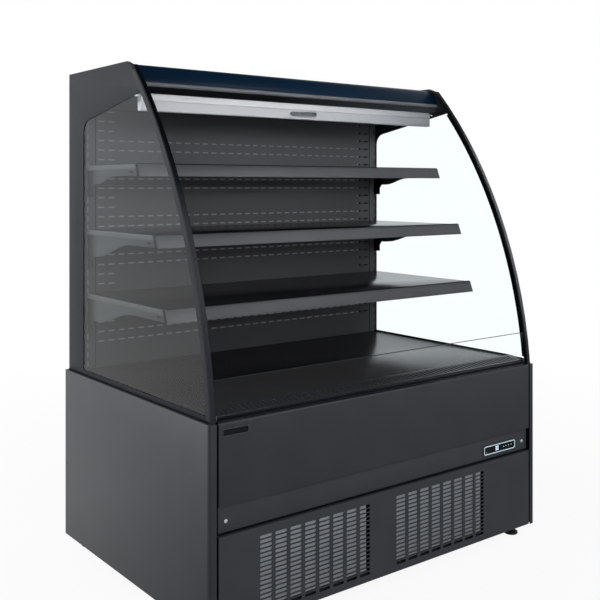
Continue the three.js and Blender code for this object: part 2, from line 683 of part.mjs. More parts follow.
// Two washable filters behind the fields, hung from one rail
function dustFilter() {
  const front = FRONT + SHEET + GAP;
  const rear = front + FILTER_THICKNESS;
  const bottom = GRILLE_BOTTOM + FIELD_RISE + FILTER_SHORTFALL;
  const top = GRILLE_BOTTOM + FIELD_RISE + fieldHeight() + FILTER_RAIL_GAP;
  const margin = GRILLE_SLOT_HEIGHT / 2;
  const [leftStart, rightStart] = fieldStarts();
  const mats = [leftStart, rightStart].map((start) =>
    block(start - margin, start + fieldLength() - FILTER_SHORTFALL, front, rear, bottom, top),
  );
  const railEnd = rightStart + fieldLength() - FILTER_SHORTFALL;
  const rail = block(leftStart - margin, railEnd, front, rear, top - JOIN, top + FILTER_RAIL);
  return join(...mats, rail);
}

function controllerOpening() {
  const length = CONTROLLER_LENGTH / 2 - BEZEL_BORDER;
  const height = CONTROLLER_HEIGHT / 2 - BEZEL_BORDER;
  return { length, height };
}

function controlStrip() {
  const rear = STRIP_Y + GRILLE_RETURN;
  const top = FASCIA_BOTTOM - GAP;
  const line = [
    [rear, top],
    [STRIP_Y, top],
    [STRIP_Y, STRIP_BOTTOM],
    [rear, STRIP_BOTTOM],
  ];
  const { length, height } = controllerOpening();
  const opening = block(
    CONTROLLER_X - length,
    CONTROLLER_X + length,
    STRIP_Y - CUT_OVER,
    STRIP_Y + SHEET + CUT_OVER,
    CONTROLLER_Z - height,
    CONTROLLER_Z + height,
  );
  const half = PANEL_HALF - STRIP_END_STEP;
  return cut(sweepX(folded(line, SHEET), -half, half), opening);
}

// Middle of each key from the middle of the controller
function keyOffsets() {
  const first = KEYS_OFFSET - ((KEY_COUNT - 1) * KEY_PITCH) / 2;
  return Array.from({ length: KEY_COUNT }, (unused, i) => first + i * KEY_PITCH);
}

// A rounded bezel on the strip, with the circuit module behind it and a pocket behind each key
function controller() {
  const { length, height } = controllerOpening();
  const halfLength = CONTROLLER_LENGTH / 2;
  const halfHeight = CONTROLLER_HEIGHT / 2;
  const corner = [BEZEL_RADIUS, SMALL_CORNER_STEPS];
  const outer = roundedRectangle(-halfLength, halfLength, -halfHeight, halfHeight, ...corner);
  const inner = rectangle(-length, length, -height, height);
  const bezel = sweepY(outer, -BEZEL_PROUD, -GAP, [inner]);
  const window = block(
    -length - JOIN,
    length + JOIN,
    -CONTROLLER_WINDOW_PROUD,
    -GAP,
    -height - JOIN,
    height + JOIN,
  );
  const module = block(GAP - length, length - GAP, -JOIN, MODULE_DEPTH, GAP - height, height - GAP);
  const halfWidth = KEY_WIDTH / 2 + KEY_CLEARANCE;
  const halfKeyHeight = KEY_HEIGHT / 2 + KEY_CLEARANCE;
  const pocketRear = KEY_DEPTH + KEY_TRAVEL - CONTROLLER_WINDOW_PROUD;
  const pocketFront = -BEZEL_PROUD - CUT_OVER;
  const pockets = keyOffsets().map((x) =>
    block(x - halfWidth, x + halfWidth, pocketFront, pocketRear, -halfKeyHeight, halfKeyHeight),
  );
  return cut(join(bezel, window, module), ...pockets).translate(CONTROLLER_X, STRIP_Y, CONTROLLER_Z);
}

// A key stands a little proud of the display, by less than its travel
function controllerKey() {
  const halfWidth = KEY_WIDTH / 2;
  const halfHeight = KEY_HEIGHT / 2;
  const corner = [KEY_CORNER, CHAMFER_STEPS];
  const outline = roundedRectangle(-halfWidth, halfWidth, -halfHeight, halfHeight, ...corner);
  return sweepY(outline, -KEY_TRAVEL / 2, KEY_DEPTH - KEY_TRAVEL / 2);
}

function fascia() {
  const rear = FRONT + FASCIA_LIP_DEPTH;
  const radius = FASCIA_LIP_RADIUS;
  const line = [
    [rear, TUB_RIM + GAP],
    [rear, FASCIA_TOP],
    ...arc(FRONT + radius, FASCIA_TOP - radius, radius, 90, 180, CORNER_STEPS),
    [FRONT, FASCIA_BOTTOM],
    [PAN_FRONT - GAP, FASCIA_BOTTOM],
  ];
  return sweepX(folded(line, SHEET), -PANEL_HALF, PANEL_HALF);
}

function rearVentCover() {
  const half = HALF - SIDE_RETURN - REAR_VENT_END_GAP;
  const rear = BACK - GAP;
  const sheet = block(-half, half, rear - SHEET, rear, GRILLE_BOTTOM, TUB_BOTTOM - GAP);
  const slots = [];
  for (let column = 0; column < REAR_VENT_COLUMNS; column += 1) {
    for (let row = 0; row < REAR_VENT_ROWS; row += 1) {
      const x = (column - (REAR_VENT_COLUMNS - 1) / 2) * REAR_VENT_COLUMN_PITCH;
      const z = (GRILLE_BOTTOM + TUB_BOTTOM) / 2 + (row - (REAR_VENT_ROWS - 1) / 2) * REAR_VENT_ROW_PITCH;
      const halfLength = REAR_VENT_SLOT_LENGTH / 2;
      const halfHeight = REAR_VENT_SLOT_HEIGHT / 2;
      const front = rear - SHEET - CUT_OVER;
      slots.push(
        block(x - halfLength, x + halfLength, front, rear + CUT_OVER, z - halfHeight, z + halfHeight),
      );
    }
  }
  return cut(sheet, together(slots));
}

function tub() {
  const front = FRONT + TUB_FRONT_SETBACK;
  const rear = BACK_FRONT - GAP;
  const wall = INSIDE_HALF - TUB_WALL;
  return cut(
    block(-INSIDE_HALF, INSIDE_HALF, front, rear, TUB_BOTTOM, TUB_RIM),
    block(
      -wall,
      wall,
      front + TUB_FRONT_WALL,
      rear - TUB_REAR_WALL,
      TUB_BOTTOM + TUB_FLOOR,
      TUB_RIM + CUT_OVER,
    ),
  );
}

// ---------------------------------------------------------------- display deck
function deck() {
  const rear = REAR_WALL_Y - GAP;
  return cut(
    block(-INSIDE_HALF, INSIDE_HALF, DECK_FRONT_Y, rear, TUB_RIM + GAP, DECK_TOP),
    block(
      SHEET - INSIDE_HALF,
      INSIDE_HALF - SHEET,
      DECK_FRONT_Y + SHEET,
      rear - SHEET,
      TUB_RIM + GAP - CUT_OVER,
      DECK_TOP - SHEET,
    ),
  );
}

// The slotted sheet in front of the deck, whose front edge folds into the channel of the low glass
function returnGrille() {
  const rear = DECK_FRONT_Y - GAP;
  const channelRear = FRONT_GLASS_Y + FRONT_GLASS_THICKNESS + GAP;
  const channelFront = FRONT_GLASS_Y - GAP;
  const channelFloor = TUB_RIM + GAP + SHEET;
  const crest = BASE_TOP + RETURN_RISE;
  const line = [
    [rear, TUB_RIM + GAP],
    [rear, crest - RETURN_FOLD_DROP],
    [rear - RETURN_FOLD, crest],
    [channelRear, crest - RETURN_DROP],
    [channelRear, channelFloor],
    [channelFront, channelFloor],
    [channelFront, channelFloor + CHANNEL_DEPTH - SHEET],
  ];
  const half = TRIM_IN - RETURN_END_GAP;
  const sheet = sweepX(folded(line, SHEET), -half, half);
  const count = Math.floor((2 * (half - RETURN_SLOT_END) - RETURN_SLOT_WIDTH) / RETURN_SLOT_PITCH) + 1;
  const slots = [];
  for (let i = 0; i < count; i += 1) {
    const x = (i - (count - 1) / 2) * RETURN_SLOT_PITCH;
    slots.push(
      block(
        x - RETURN_SLOT_WIDTH / 2,
        x + RETURN_SLOT_WIDTH / 2,
        channelRear + SHEET + RETURN_SLOT_MARGIN_FRONT,
        rear - RETURN_SLOT_MARGIN_REAR,
        TUB_RIM + CHANNEL_DEPTH,
        crest + CUT_OVER,
      ),
    );
  }
  return cut(sheet, together(slots));
}

function frontGlass() {
  const half = TRIM_IN - FRONT_GLASS_END_GAP;
  const rear = FRONT_GLASS_Y + FRONT_GLASS_THICKNESS;
  const bottom = TUB_RIM + 2 * GAP + SHEET;
  return block(-half, half, FRONT_GLASS_Y, rear, bottom, BASE_TOP + FRONT_GLASS_RISE);
}

// ---------------------------------------------------------------- upper sides
// Facet corners of a curve parallel to the front edge, a given distance inside it, from the foot up.
// Every such curve has its corners at the same angles, so parallel curves keep their distance.
function edgeCorners(inset) {
  const radius = EDGE_RADIUS - inset;
  const footAngle = Math.asin((BASE_TOP - EDGE.y) / EDGE_RADIUS);
  const headAngle = Math.asin((HEIGHT - EDGE_HEAD_DROP - EDGE.y) / EDGE_RADIUS);
  const corners = [];
  for (let i = -1; i <= ARC_STEPS + 1; i += 1) {
    const angle = footAngle + ((headAngle - footAngle) * i) / ARC_STEPS;
    corners.push([EDGE.x - radius * Math.cos(angle), EDGE.y + radius * Math.sin(angle)]);
  }
  return corners;
}

// Y of that curve at height z
function edgeY(inset, z) {
  const corners = edgeCorners(inset);
  const above = Math.max(1, corners.findIndex((corner) => corner[1] >= z));
  const [[y0, z0], [y1, z1]] = [corners[above - 1], corners[above]];
  return y0 + ((y1 - y0) * (z - z0)) / (z1 - z0);
}

// Points of that curve from one height to another
function edgeCurve(inset, fromZ, toZ) {
  const [low, high] = [Math.min(fromZ, toZ), Math.max(fromZ, toZ)];
  const inside = ([, z]) => z > low + CORNER_SPACING && z < high - CORNER_SPACING;
  const between = edgeCorners(inset).filter(inside);
  const rising = [[edgeY(inset, low), low], ...between, [edgeY(inset, high), high]];
  return fromZ < toZ ? rising : rising.reverse();
}

// Height of a line parallel to the window's upper edge, lifted by a distance square to it
function windowTop(y, lift = 0) {
  const rearTop = HEIGHT - WINDOW_REAR_DROP;
  return rearTop + (WINDOW_REAR_Y - y) * WINDOW_SLOPE + lift * Math.hypot(1, WINDOW_SLOPE);
}

// Height at which that line meets a curve parallel to the front edge
function windowMeetsEdge(inset, lift = 0) {
  let z = HEIGHT;
  for (let i = 0; i < SEARCH_STEPS; i += 1) {
    z = windowTop(edgeY(inset, z), lift);
  }
  return z;
}

function sideGlassOutline(grow) {
  const inset = TRIM_WEB + GAP - grow;
  const bottom = BASE_TOP + SILL_RISE - CHANNEL_DEPTH - grow;
  const rear = WINDOW_REAR_Y + GLASS_LAP + grow;
  const lift = GLASS_LAP + grow;
  return [
    [rear, bottom],
    [rear, windowTop(rear, lift)],
    ...edgeCurve(inset, windowMeetsEdge(inset, lift), bottom),
  ];
}

function sideGlass(side) {
  return sweepSide(sideGlassOutline(0), side, SIDE_IN, GLASS_OUT);
}

// The painted frame round the rear, top and bottom of the window
function sideFrame(side) {
  const inset = TRIM_DEPTH + GAP;
  const slope = THREE.MathUtils.radToDeg(Math.atan(WINDOW_SLOPE));
  const radius = WINDOW_CORNER_RADIUS;
  const cornerY = WINDOW_REAR_Y - radius;
  const cornerZ = windowTop(cornerY, -radius);
  const frontZ = windowMeetsEdge(inset + WINDOW_FRONT_RADIUS, -WINDOW_FRONT_RADIUS);
  const frontY = edgeY(inset + WINDOW_FRONT_RADIUS, frontZ);
  const frontAngle = THREE.MathUtils.radToDeg(Math.atan2(frontZ - EDGE.y, frontY - EDGE.x));
  const frontCorner = arc(frontY, frontZ, WINDOW_FRONT_RADIUS, frontAngle, 90 - slope, CORNER_STEPS);
  const sill = BASE_TOP + SILL_RISE;
  const headZ = HEIGHT - EDGE_HEAD_DROP / 2;
  const outline = [
    [FRAME_REAR, UPPER_FOOT],
    [FRAME_REAR, HEIGHT],
    [HEAD_Y + FRAME_CREST_SETBACK, HEIGHT],
    ...edgeCurve(inset, headZ, frontCorner[0][1] + CORNER_SPACING),
    ...frontCorner,
    ...arc(cornerY, cornerZ, radius, 90 - slope, 0, CORNER_STEPS),
    [WINDOW_REAR_Y, sill],
    ...edgeCurve(inset, sill, UPPER_FOOT),
  ];
  const pocket = sweepSide(sideGlassOutline(GAP), side, SIDE_IN - CUT_OVER, GLASS_OUT + GAP);
  return cut(sweepSide(outline, side, SIDE_IN, SIDE_OUT), pocket);
}

// The curved channel over the front edge of a side glass, with a rounded upper end
function edgeTrim(side) {
  const headZ = HEIGHT - EDGE_HEAD_DROP;
  const outer = edgeCurve(0, UPPER_FOOT, headZ);
  const inner = edgeCurve(TRIM_DEPTH, headZ, UPPER_FOOT);
  const noseZ = headZ + TRIM_NOSE_RISE;
  const nose = [
    [edgeY(TRIM_NOSE_CORNER, noseZ), noseZ],
    [edgeY(TRIM_DEPTH - TRIM_NOSE_CORNER, noseZ), noseZ],
  ];
  const band = sweepSide([...outer, ...nose, ...inner], side, TRIM_IN, SIDE_OUT);
  const grooveTop = windowMeetsEdge(TRIM_DEPTH, GLASS_LAP) + CHANNEL_DEPTH;
  const groove = [
    ...edgeCurve(TRIM_WEB, UPPER_FOOT - CUT_OVER, grooveTop),
    ...edgeCurve(TRIM_DEPTH + CUT_OVER, grooveTop, UPPER_FOOT - CUT_OVER),
  ];
  return cut(band, sweepSide(groove, side, SIDE_IN - GAP, GLASS_OUT + GAP));
}

// ---------------------------------------------------------------- back, roof and canopy
function backPanel() {
  return block(-INSIDE_HALF, INSIDE_HALF, BACK_FRONT, BACK_REAR, TUB_BOTTOM, ROOF_BOTTOM - GAP);
}

function roofPanel() {
  return block(-INSIDE_HALF, INSIDE_HALF, ROOF_FRONT_Y, BACK_REAR, ROOF_BOTTOM, ROOF_TOP);
}

// Points of the canopy's face below its bent top edge, as [y, z]
function canopyFace() {
  const top = ROOF_TOP + GAP + SHEET;
  const nose = HEIGHT - CANOPY_NOSE_DROP;
  const start = new THREE.Vector2(HEAD_Y + CANOPY_TOP_SETBACK, top);
  const bend = new THREE.Vector2(HEAD_Y + CANOPY_BEND_SETBACK, top - CANOPY_BEND_DROP);
  const end = new THREE.Vector2(CANOPY_NOSE_Y, nose);
  const curve = new THREE.QuadraticBezierCurve(start, bend, end);
  return curve.getPoints(CURVE_STEPS).map((point) => [point.x, point.y]);
}

// Lower end of the stretch that carries the bead
function beadFoot() {
  return [CANOPY_NOSE_Y + BEAD_TUCK, HEIGHT - CANOPY_NOSE_DROP - BEAD_LENGTH];
}

function canopyFront() {
  const top = ROOF_TOP + GAP + SHEET;
  const line = [
    [ROOF_FRONT_Y + CANOPY_LAP, top],
    ...canopyFace(),
    beadFoot(),
    [BAR_FRONT_Y - CANOPY_LIP, CANOPY_BOTTOM],
    [CASSETTE_FRONT_Y - CANOPY_CASSETTE_GAP, CANOPY_BOTTOM],
  ];
  return sweepX(folded(line, SHEET), -INSIDE_HALF, INSIDE_HALF);
}

// A half-round bumper strip on the lower edge of the canopy's face
function canopyBead() {
  const head = new THREE.Vector2(CANOPY_NOSE_Y, HEIGHT - CANOPY_NOSE_DROP);
  const foot = new THREE.Vector2(...beadFoot());
  const along = foot.clone().sub(head);
  const outward = new THREE.Vector2(along.y, -along.x).normalize();
  const middle = head.clone().add(foot).multiplyScalar(0.5).addScaledVector(outward, GAP);
  const profile = [];
  for (let i = 0; i <= CURVE_STEPS; i += 1) {
    const angle = (Math.PI * i) / CURVE_STEPS;
    const point = middle
      .clone()
      .addScaledVector(along, 0.5 * Math.cos(angle))
      .addScaledVector(outward, BEAD_BULGE * Math.sin(angle));
    profile.push([point.x, point.y]);
  }
  return sweepX(profile, -INSIDE_HALF, INSIDE_HALF);
}

function ceilingHeight(y) {
  return CEILING_REAR_Z + (REAR_WALL_Y - y) * WINDOW_SLOPE;
}

function ceilingPanel() {
  const rear = REAR_WALL_Y - GAP;
  const line = [
    [CEILING_FRONT_Y, ceilingHeight(CEILING_FRONT_Y)],
    [rear, ceilingHeight(rear)],
    [rear, ceilingHeight(rear) + CEILING_FLANGE],
  ];
  return sweepX(folded(line, SHEET), -INSIDE_HALF, INSIDE_HALF);
}

// A slim lamp under the front of the ceiling
function lampStrip() {
  const front = CEILING_FRONT_Y + LAMP_OFFSET;
  const rear = front + LAMP_WIDTH;
  const profile = [
    [front, ceilingHeight(front) - GAP],
    [front, ceilingHeight(front) - LAMP_HEIGHT + LAMP_CHAMFER],
    [front + LAMP_CHAMFER, ceilingHeight(front) - LAMP_HEIGHT],
    [rear - LAMP_CHAMFER, ceilingHeight(rear) - LAMP_HEIGHT],
    [rear, ceilingHeight(rear) - LAMP_HEIGHT + LAMP_CHAMFER],
    [rear, ceilingHeight(rear) - GAP],
  ];
  return sweepX(profile, -FABRIC_HALF, FABRIC_HALF);
}

// ---------------------------------------------------------------- night blind
function blindCassette() {
  const top = CASSETTE_BOTTOM + CASSETTE_SIZE;
  const inner = CASSETTE_HALF - CASSETTE_END;
  const shell = cut(
    block(-CASSETTE_HALF, CASSETTE_HALF, CASSETTE_FRONT_Y, CASSETTE_REAR_Y, CASSETTE_BOTTOM, top),
    block(
      -inner,
      inner,
      CASSETTE_FRONT_Y + SHEET,
      CASSETTE_REAR_Y - SHEET,
      CASSETTE_BOTTOM + SHEET,
      top - SHEET,
    ),
    block(
      -inner,
      inner,
      FABRIC_Y - FABRIC_THICKNESS / 2 - FABRIC_SLOT / 2,
      FABRIC_Y - FABRIC_THICKNESS / 2 + FABRIC_SLOT / 2,
      CASSETTE_BOTTOM - CUT_OVER,
      CASSETTE_BOTTOM + SHEET + CUT_OVER,
    ),
  );
  const pins = [-1, 1].map((side) => {
    const from = inner + CASSETTE_END / 2;
    const to = inner - ROLLER_PIN_LENGTH;
    const [x0, x1] = side > 0 ? [to, from] : [-from, -to];
    return rod('x', ROLLER_PIN_RADIUS, x0, x1, [ROLLER_Y, ROLLER_Z], PIN_SIDES);
  });
  return join(shell, ...pins);
}

function blindRoller() {
  const bore = ROLLER_PIN_RADIUS + ROLLER_PIN_CLEARANCE;
  const depth = ROLLER_PIN_LENGTH - ROLLER_SIDE_GAP + ROLLER_PIN_END_GAP;
  const axis = [ROLLER_Y, ROLLER_Z];
  return cut(
    rod('x', ROLLER_RADIUS, -ROLLER_HALF, ROLLER_HALF, axis, DRUM_SIDES),
    rod('x', bore, ROLLER_HALF - depth, ROLLER_HALF + CUT_OVER, axis, ROD_SIDES),
    rod('x', bore, -ROLLER_HALF - CUT_OVER, depth - ROLLER_HALF, axis, ROD_SIDES),
  );
}

function blindFabric() {
  return block(
    -FABRIC_HALF,
    FABRIC_HALF,
    FABRIC_Y - FABRIC_THICKNESS,
    FABRIC_Y,
    BAR_TOP + GAP,
    ROLLER_Z,
  );
}

// The pull bar, with a pin at each end that holds it to the catches of the front glass
function blindBar() {
  const rear = BAR_FRONT_Y + BAR_DEPTH;
  const step = BAR_TOP - BAR_UPPER_BAND;
  const face = BAR_FRONT_Y + BAR_STEP;
  const profile = [
    [BAR_FRONT_Y + BAR_LEAN, BAR_TOP],
    [BAR_FRONT_Y, step],
    [face, step - BAR_STEP],
    [face, BAR_BOTTOM + BAR_EDGE],
    [face + BAR_EDGE, BAR_BOTTOM],
    [rear - 2 * BAR_EDGE, BAR_BOTTOM],
    [rear - BAR_EDGE, BAR_BOTTOM + BAR_EDGE],
    [rear, BAR_TOP],
  ];
  const end = BAR_HALF + BAR_PIN_LENGTH;
  const axis = [BAR_FRONT_Y + BAR_DEPTH / 2, BAR_TOP - BAR_PIN_DROP];
  const pins = rod('x', BAR_PIN_RADIUS, -end, end, axis, PIN_SIDES);
  return join(sweepX(profile, -BAR_HALF, BAR_HALF), pins);
}

// An oval pull ring on two short posts
function blindHandle() {
  const length = HANDLE_LENGTH / 2;
  const height = HANDLE_HEIGHT / 2;
  const outerCorner = [height - GAP, SMALL_CORNER_STEPS];
  const outer = roundedRectangle(-length, length, -height, height, ...outerCorner);
  const innerLength = length - 2 * HANDLE_BAND;
  const innerHeight = height - HANDLE_BAND;
  const innerCorner = [innerHeight - GAP, SMALL_CORNER_STEPS];
  const inner = roundedRectangle(-innerLength, innerLength, -innerHeight, innerHeight, ...innerCorner);
  const rear = HANDLE_THICKNESS - HANDLE_PROUD;
  const ring = sweepY(outer, -HANDLE_PROUD, rear, [inner]);
  const postX = length - HANDLE_BAND;
  const posts = [-postX, postX].map((x) =>
    rod('y', HANDLE_POST_RADIUS, rear - JOIN, -GAP, [x, 0], PIN_SIDES),
  );
  return join(ring, ...posts).translate(0, BAR_FRONT_Y + BAR_STEP, BAR_BOTTOM + HANDLE_RISE);
}

// ---------------------------------------------------------------- rear wall, uprights and shelves
function rearWall() {
  return block(
    -REAR_WALL_HALF,
    REAR_WALL_HALF,
    REAR_WALL_Y,
    REAR_WALL_Y + REAR_WALL_THICKNESS,
    TUB_RIM + GAP,
    UPRIGHT_TOP,
  );
}

// A slotted channel that carries the shelves and bears on the back panel
function upright(side) {
  const rear = BACK_FRONT - GAP;
  const line = [
    [UPRIGHT_INNER, rear],
    [UPRIGHT_INNER, REAR_WALL_Y],
    [INSIDE_HALF, REAR_WALL_Y],
    [INSIDE_HALF, rear],
  ];
  const profile = folded(line, SHEET).map(([x, y]) => [side * x, y]);
  const middle = (side * (BRACKET_IN + BRACKET_OUT)) / 2;
  const highest = UPRIGHT_TOP - UPRIGHT_SLOT_END - UPRIGHT_SLOT_HEIGHT / 2;
  const slots = [];
  for (let i = 0; slotZ(i) <= highest; i += 1) {
    slots.push(
      block(
        middle - UPRIGHT_SLOT_WIDTH / 2,
        middle + UPRIGHT_SLOT_WIDTH / 2,
        REAR_WALL_Y - CUT_OVER,
        REAR_WALL_Y + SHEET + CUT_OVER,
        slotZ(i) - UPRIGHT_SLOT_HEIGHT / 2,
        slotZ(i) + UPRIGHT_SLOT_HEIGHT / 2,
      ),
    );
  }
  return cut(sweepZ(profile, TUB_RIM + GAP, UPRIGHT_TOP), together(slots));
}

// Shelf pieces are drawn with the shelf's top at z = 0
function shelfFront(depth) {
  return REAR_WALL_Y - depth + RAIL_DEPTH + GAP;
}

function shelf({ depth }) {
  const rear = REAR_WALL_Y - SHELF_REAR_GAP;
  const lean = RAIL_LEAN / RAIL_HEIGHT;
  const front = shelfFront(depth);
  const step = front + SHELF_STEP_WIDTH;
  const foldDepth = RAIL_HEIGHT - SHELF_FOLD_SHORTFALL;
  const line = [
    [rear, 0],
    [step, 0],
    [step, -SHELF_STEP],
    [front, -SHELF_STEP],
    [front - foldDepth * lean, -foldDepth],
    [front - foldDepth * lean + SHELF_FOLD_RETURN, -foldDepth],
  ];
  const plate = sweepX(folded(line, SHEET), -SHELF_HALF, SHELF_HALF);
  const inPlate = SHEET / 2;
  const flange = [
    [rear, -inPlate],
    [step + inPlate, -inPlate],
    [step + inPlate, -SHELF_STEP - inPlate],
    [front, -SHELF_STEP - inPlate],
    [front, -SHELF_SIDE_FLANGE],
    [rear, -SHELF_SIDE_FLANGE],
  ];
  const flanges = [-1, 1].map((side) => sweepSide(flange, side, SHELF_HALF - SHEET, SHELF_HALF));
  const rearHalf = BRACKET_IN - GAP;
  const rearFlange = block(-rearHalf, rearHalf, rear - SHEET, rear, -SHELF_SIDE_FLANGE, -inPlate);
  return join(plate, ...flanges, rearFlange);
}

// The slanted price rail that hooks over the shelf's stepped front edge
function priceRail({ depth }) {
  const front = REAR_WALL_Y - depth;
  const face = [
    [front + RAIL_HOOK, 0],
    [front + RAIL_EDGE, 0],
    [front, -RAIL_EDGE],
    [front - RAIL_LEAN, -RAIL_HEIGHT],
    [front - RAIL_LEAN + RAIL_FOOT, -RAIL_HEIGHT],
  ];
  return sweepX(folded(face, RAIL_WALL), -SHELF_HALF, SHELF_HALF);
}

// A pressed bracket with a deep root, a curved lower edge and two hooks for the upright
function bracket({ depth, root, curve }, side) {
  const top = -SHEET - GAP;
  const rear = REAR_WALL_Y - GAP;
  const front = REAR_WALL_Y - depth + RAIL_DEPTH + BRACKET_FRONT_GAP;
  const stepRear = shelfFront(depth) + SHELF_STEP_WIDTH + SHEET + GAP;
  const tailFront = rear - BRACKET_TAIL_WIDTH;
  const tailBottom = -root - BRACKET_TAIL_DROP;
  const hook = (z) => [
    [rear, z + HOOK_HEIGHT / 2],
    [rear + HOOK_LENGTH, z + HOOK_HEIGHT / 2],
    [rear + HOOK_LENGTH, z - HOOK_HEIGHT / 2],
    [rear, z - HOOK_HEIGHT / 2],
  ];
  const wave = [];
  for (let i = 0; i <= BRACKET_CURVE_STEPS; i += 1) {
    const t = i / BRACKET_CURVE_STEPS;
    const fall = ((root - BRACKET_FRONT_DEPTH) * (1 + Math.cos(Math.PI * t))) / 2;
    wave.push([REAR_WALL_Y - BRACKET_SHOULDER - curve * t, -BRACKET_FRONT_DEPTH - fall]);
  }
  const outline = [
    [front, top - SHELF_STEP],
    [stepRear, top - SHELF_STEP],
    [stepRear, top],
    [rear, top],
    ...hook(-SHELF_OVER_HOOK),
    ...hook(-SHELF_OVER_HOOK - HOOK_SPACING * UPRIGHT_SLOT_PITCH),
    [rear, tailBottom],
    [tailFront, tailBottom],
    [tailFront, -root - BRACKET_HEEL_DROP],
    [tailFront - BRACKET_HEEL_WIDTH, -root],
    ...wave,
    [front, -BRACKET_FRONT_DEPTH],
  ];
  return sweepSide(outline, side, BRACKET_IN, BRACKET_OUT);
}

function addShelf(name, size) {
  const level = new THREE.Group();
  level.position.z = slotZ(size.hookSlot) + SHELF_OVER_HOOK;
  place(`shelf_${name}`, shelf(size), 'shelfCoat', level);
  place(`price_rail_${name}`, priceRail(size), 'shelfCoat', level);
  place(`bracket_${name}_left`, bracket(size, -1), 'shelfCoat', level);
  place(`bracket_${name}_right`, bracket(size, 1), 'shelfCoat', level);
  fridge.add(level);
}

// ---------------------------------------------------------------- cooling unit
// A row of upright fins on a common header, seen from the front and swept backwards
function finBlock(x0, x1, y0, y1, z0, z1, fins) {
  const pitch = (x1 - x0) / (fins * 2 - 1);
  const header = z0 + FIN_HEADER;
  const outline = [[x1, z0], [x1, z1]];
  for (let i = 1; i < fins; i += 1) {
    const right = x1 - (2 * i - 1) * pitch;
    outline.push([right, z1], [right, header], [right - pitch, header], [right - pitch, z1]);
  }
  outline.push([x0, z1], [x0, z0]);
  return sweepY(outline, y0, y1);
}

// A fan about the Y axis: hub at the origin, with a blind bore for the shaft at the rear
function fan(radius) {
  const span = radius - BLADE_ROOT;
  const outline = BLADE_OUTLINE.map(([out, across]) => [out * span, across * span]);
  const blades = [];
  for (let i = 0; i < FAN_BLADES; i += 1) {
    const blade = sweepY(outline, -BLADE_THICKNESS / 2, BLADE_THICKNESS / 2);
    blade.rotateX(THREE.MathUtils.degToRad(FAN_PITCH_DEG));
    blade.translate(BLADE_ROOT, 0, 0);
    blade.rotateY((2 * Math.PI * i) / FAN_BLADES);
    blades.push(blade);
  }
  const hub = rod('y', FAN_HUB_RADIUS, -FAN_HUB_DEPTH / 2, FAN_HUB_DEPTH / 2, [0, 0], ROD_SIDES);
  const bore = rod('y', SHAFT_RADIUS + SHAFT_CLEARANCE, 0, FAN_HUB_DEPTH, [0, 0], ROD_SIDES);
  return cut(join(hub, ...blades), bore);
}

// A plate at y = 0 with round openings, each with a motor held behind it on a level arm
function fanPlate(halfWidth, z0, z1, centres, radius, fanY) {
  const hole = radius + FAN_TIP_CLEARANCE;
  const lastAngle = 360 - 360 / FAN_HOLE_STEPS;
  const circle = ([x, z]) => arc(x, z, hole, 0, lastAngle, FAN_HOLE_STEPS - 1);
  const plate = sweepY(rectangle(-halfWidth, halfWidth, z0, z1), 0, SHROUD_SHEET, centres.map(circle));
  const motorFront = fanY + FAN_HUB_DEPTH / 2 + MOTOR_GAP;
  const armFront = motorFront + ARM_SETBACK;
  const armRear = armFront + ARM_SIZE;
  const footIn = hole + ARM_REACH;
  const footOut = footIn + ARM_SIZE;
  const mounts = centres.flatMap(([x, z]) => [
    rod('y', MOTOR_RADIUS, motorFront, motorFront + MOTOR_DEPTH, [x, z], ROD_SIDES),
    rod('y', SHAFT_RADIUS, fanY + SHAFT_LAP, motorFront + JOIN, [x, z], PIN_SIDES),
    block(x - footOut, x + footOut, armFront, armRear, z - ARM_SIZE, z + ARM_SIZE),
    block(x - footOut, x - footIn, SHROUD_SHEET / 2, armRear, z - ARM_SIZE, z + ARM_SIZE),
    block(x + footIn, x + footOut, SHROUD_SHEET / 2, armRear, z - ARM_SIZE, z + ARM_SIZE),
  ]);
  return join(plate, ...mounts);
}

function compressor() {
  const canHeight = COMPRESSOR_HEIGHT - COMPRESSOR_STAND;
  const wall = COMPRESSOR_PROFILE.map(([r, h]) => [
    r * COMPRESSOR_RADIUS,
    COMPRESSOR_STAND + h * canHeight,
  ]);
  const profile = [[0, COMPRESSOR_STAND], ...wall, [0, COMPRESSOR_HEIGHT]];
  const points = profile.map(([r, z]) => new THREE.Vector2(r, z));
  const can = new THREE.LatheGeometry(points, DRUM_SIDES).rotateX(Math.PI / 2);
  const half = COMPRESSOR_PLATE / 2;
  const plateTop = COMPRESSOR_STAND + JOIN;
  const plate = block(-half, half, -half, half, plateTop - COMPRESSOR_PLATE_SHEET, plateTop);
  const corner = half - COMPRESSOR_PAD_INSET;
  const pads = [[-corner, -corner], [corner, -corner], [-corner, corner], [corner, corner]].map((at) =>
    rod('z', COMPRESSOR_PAD_RADIUS, GAP, COMPRESSOR_STAND - JOIN, at, PIN_SIDES),
  );
  return join(can, plate, ...pads).translate(COMPRESSOR_X, BACK - COMPRESSOR_SETBACK, PAN_FLOOR);
}

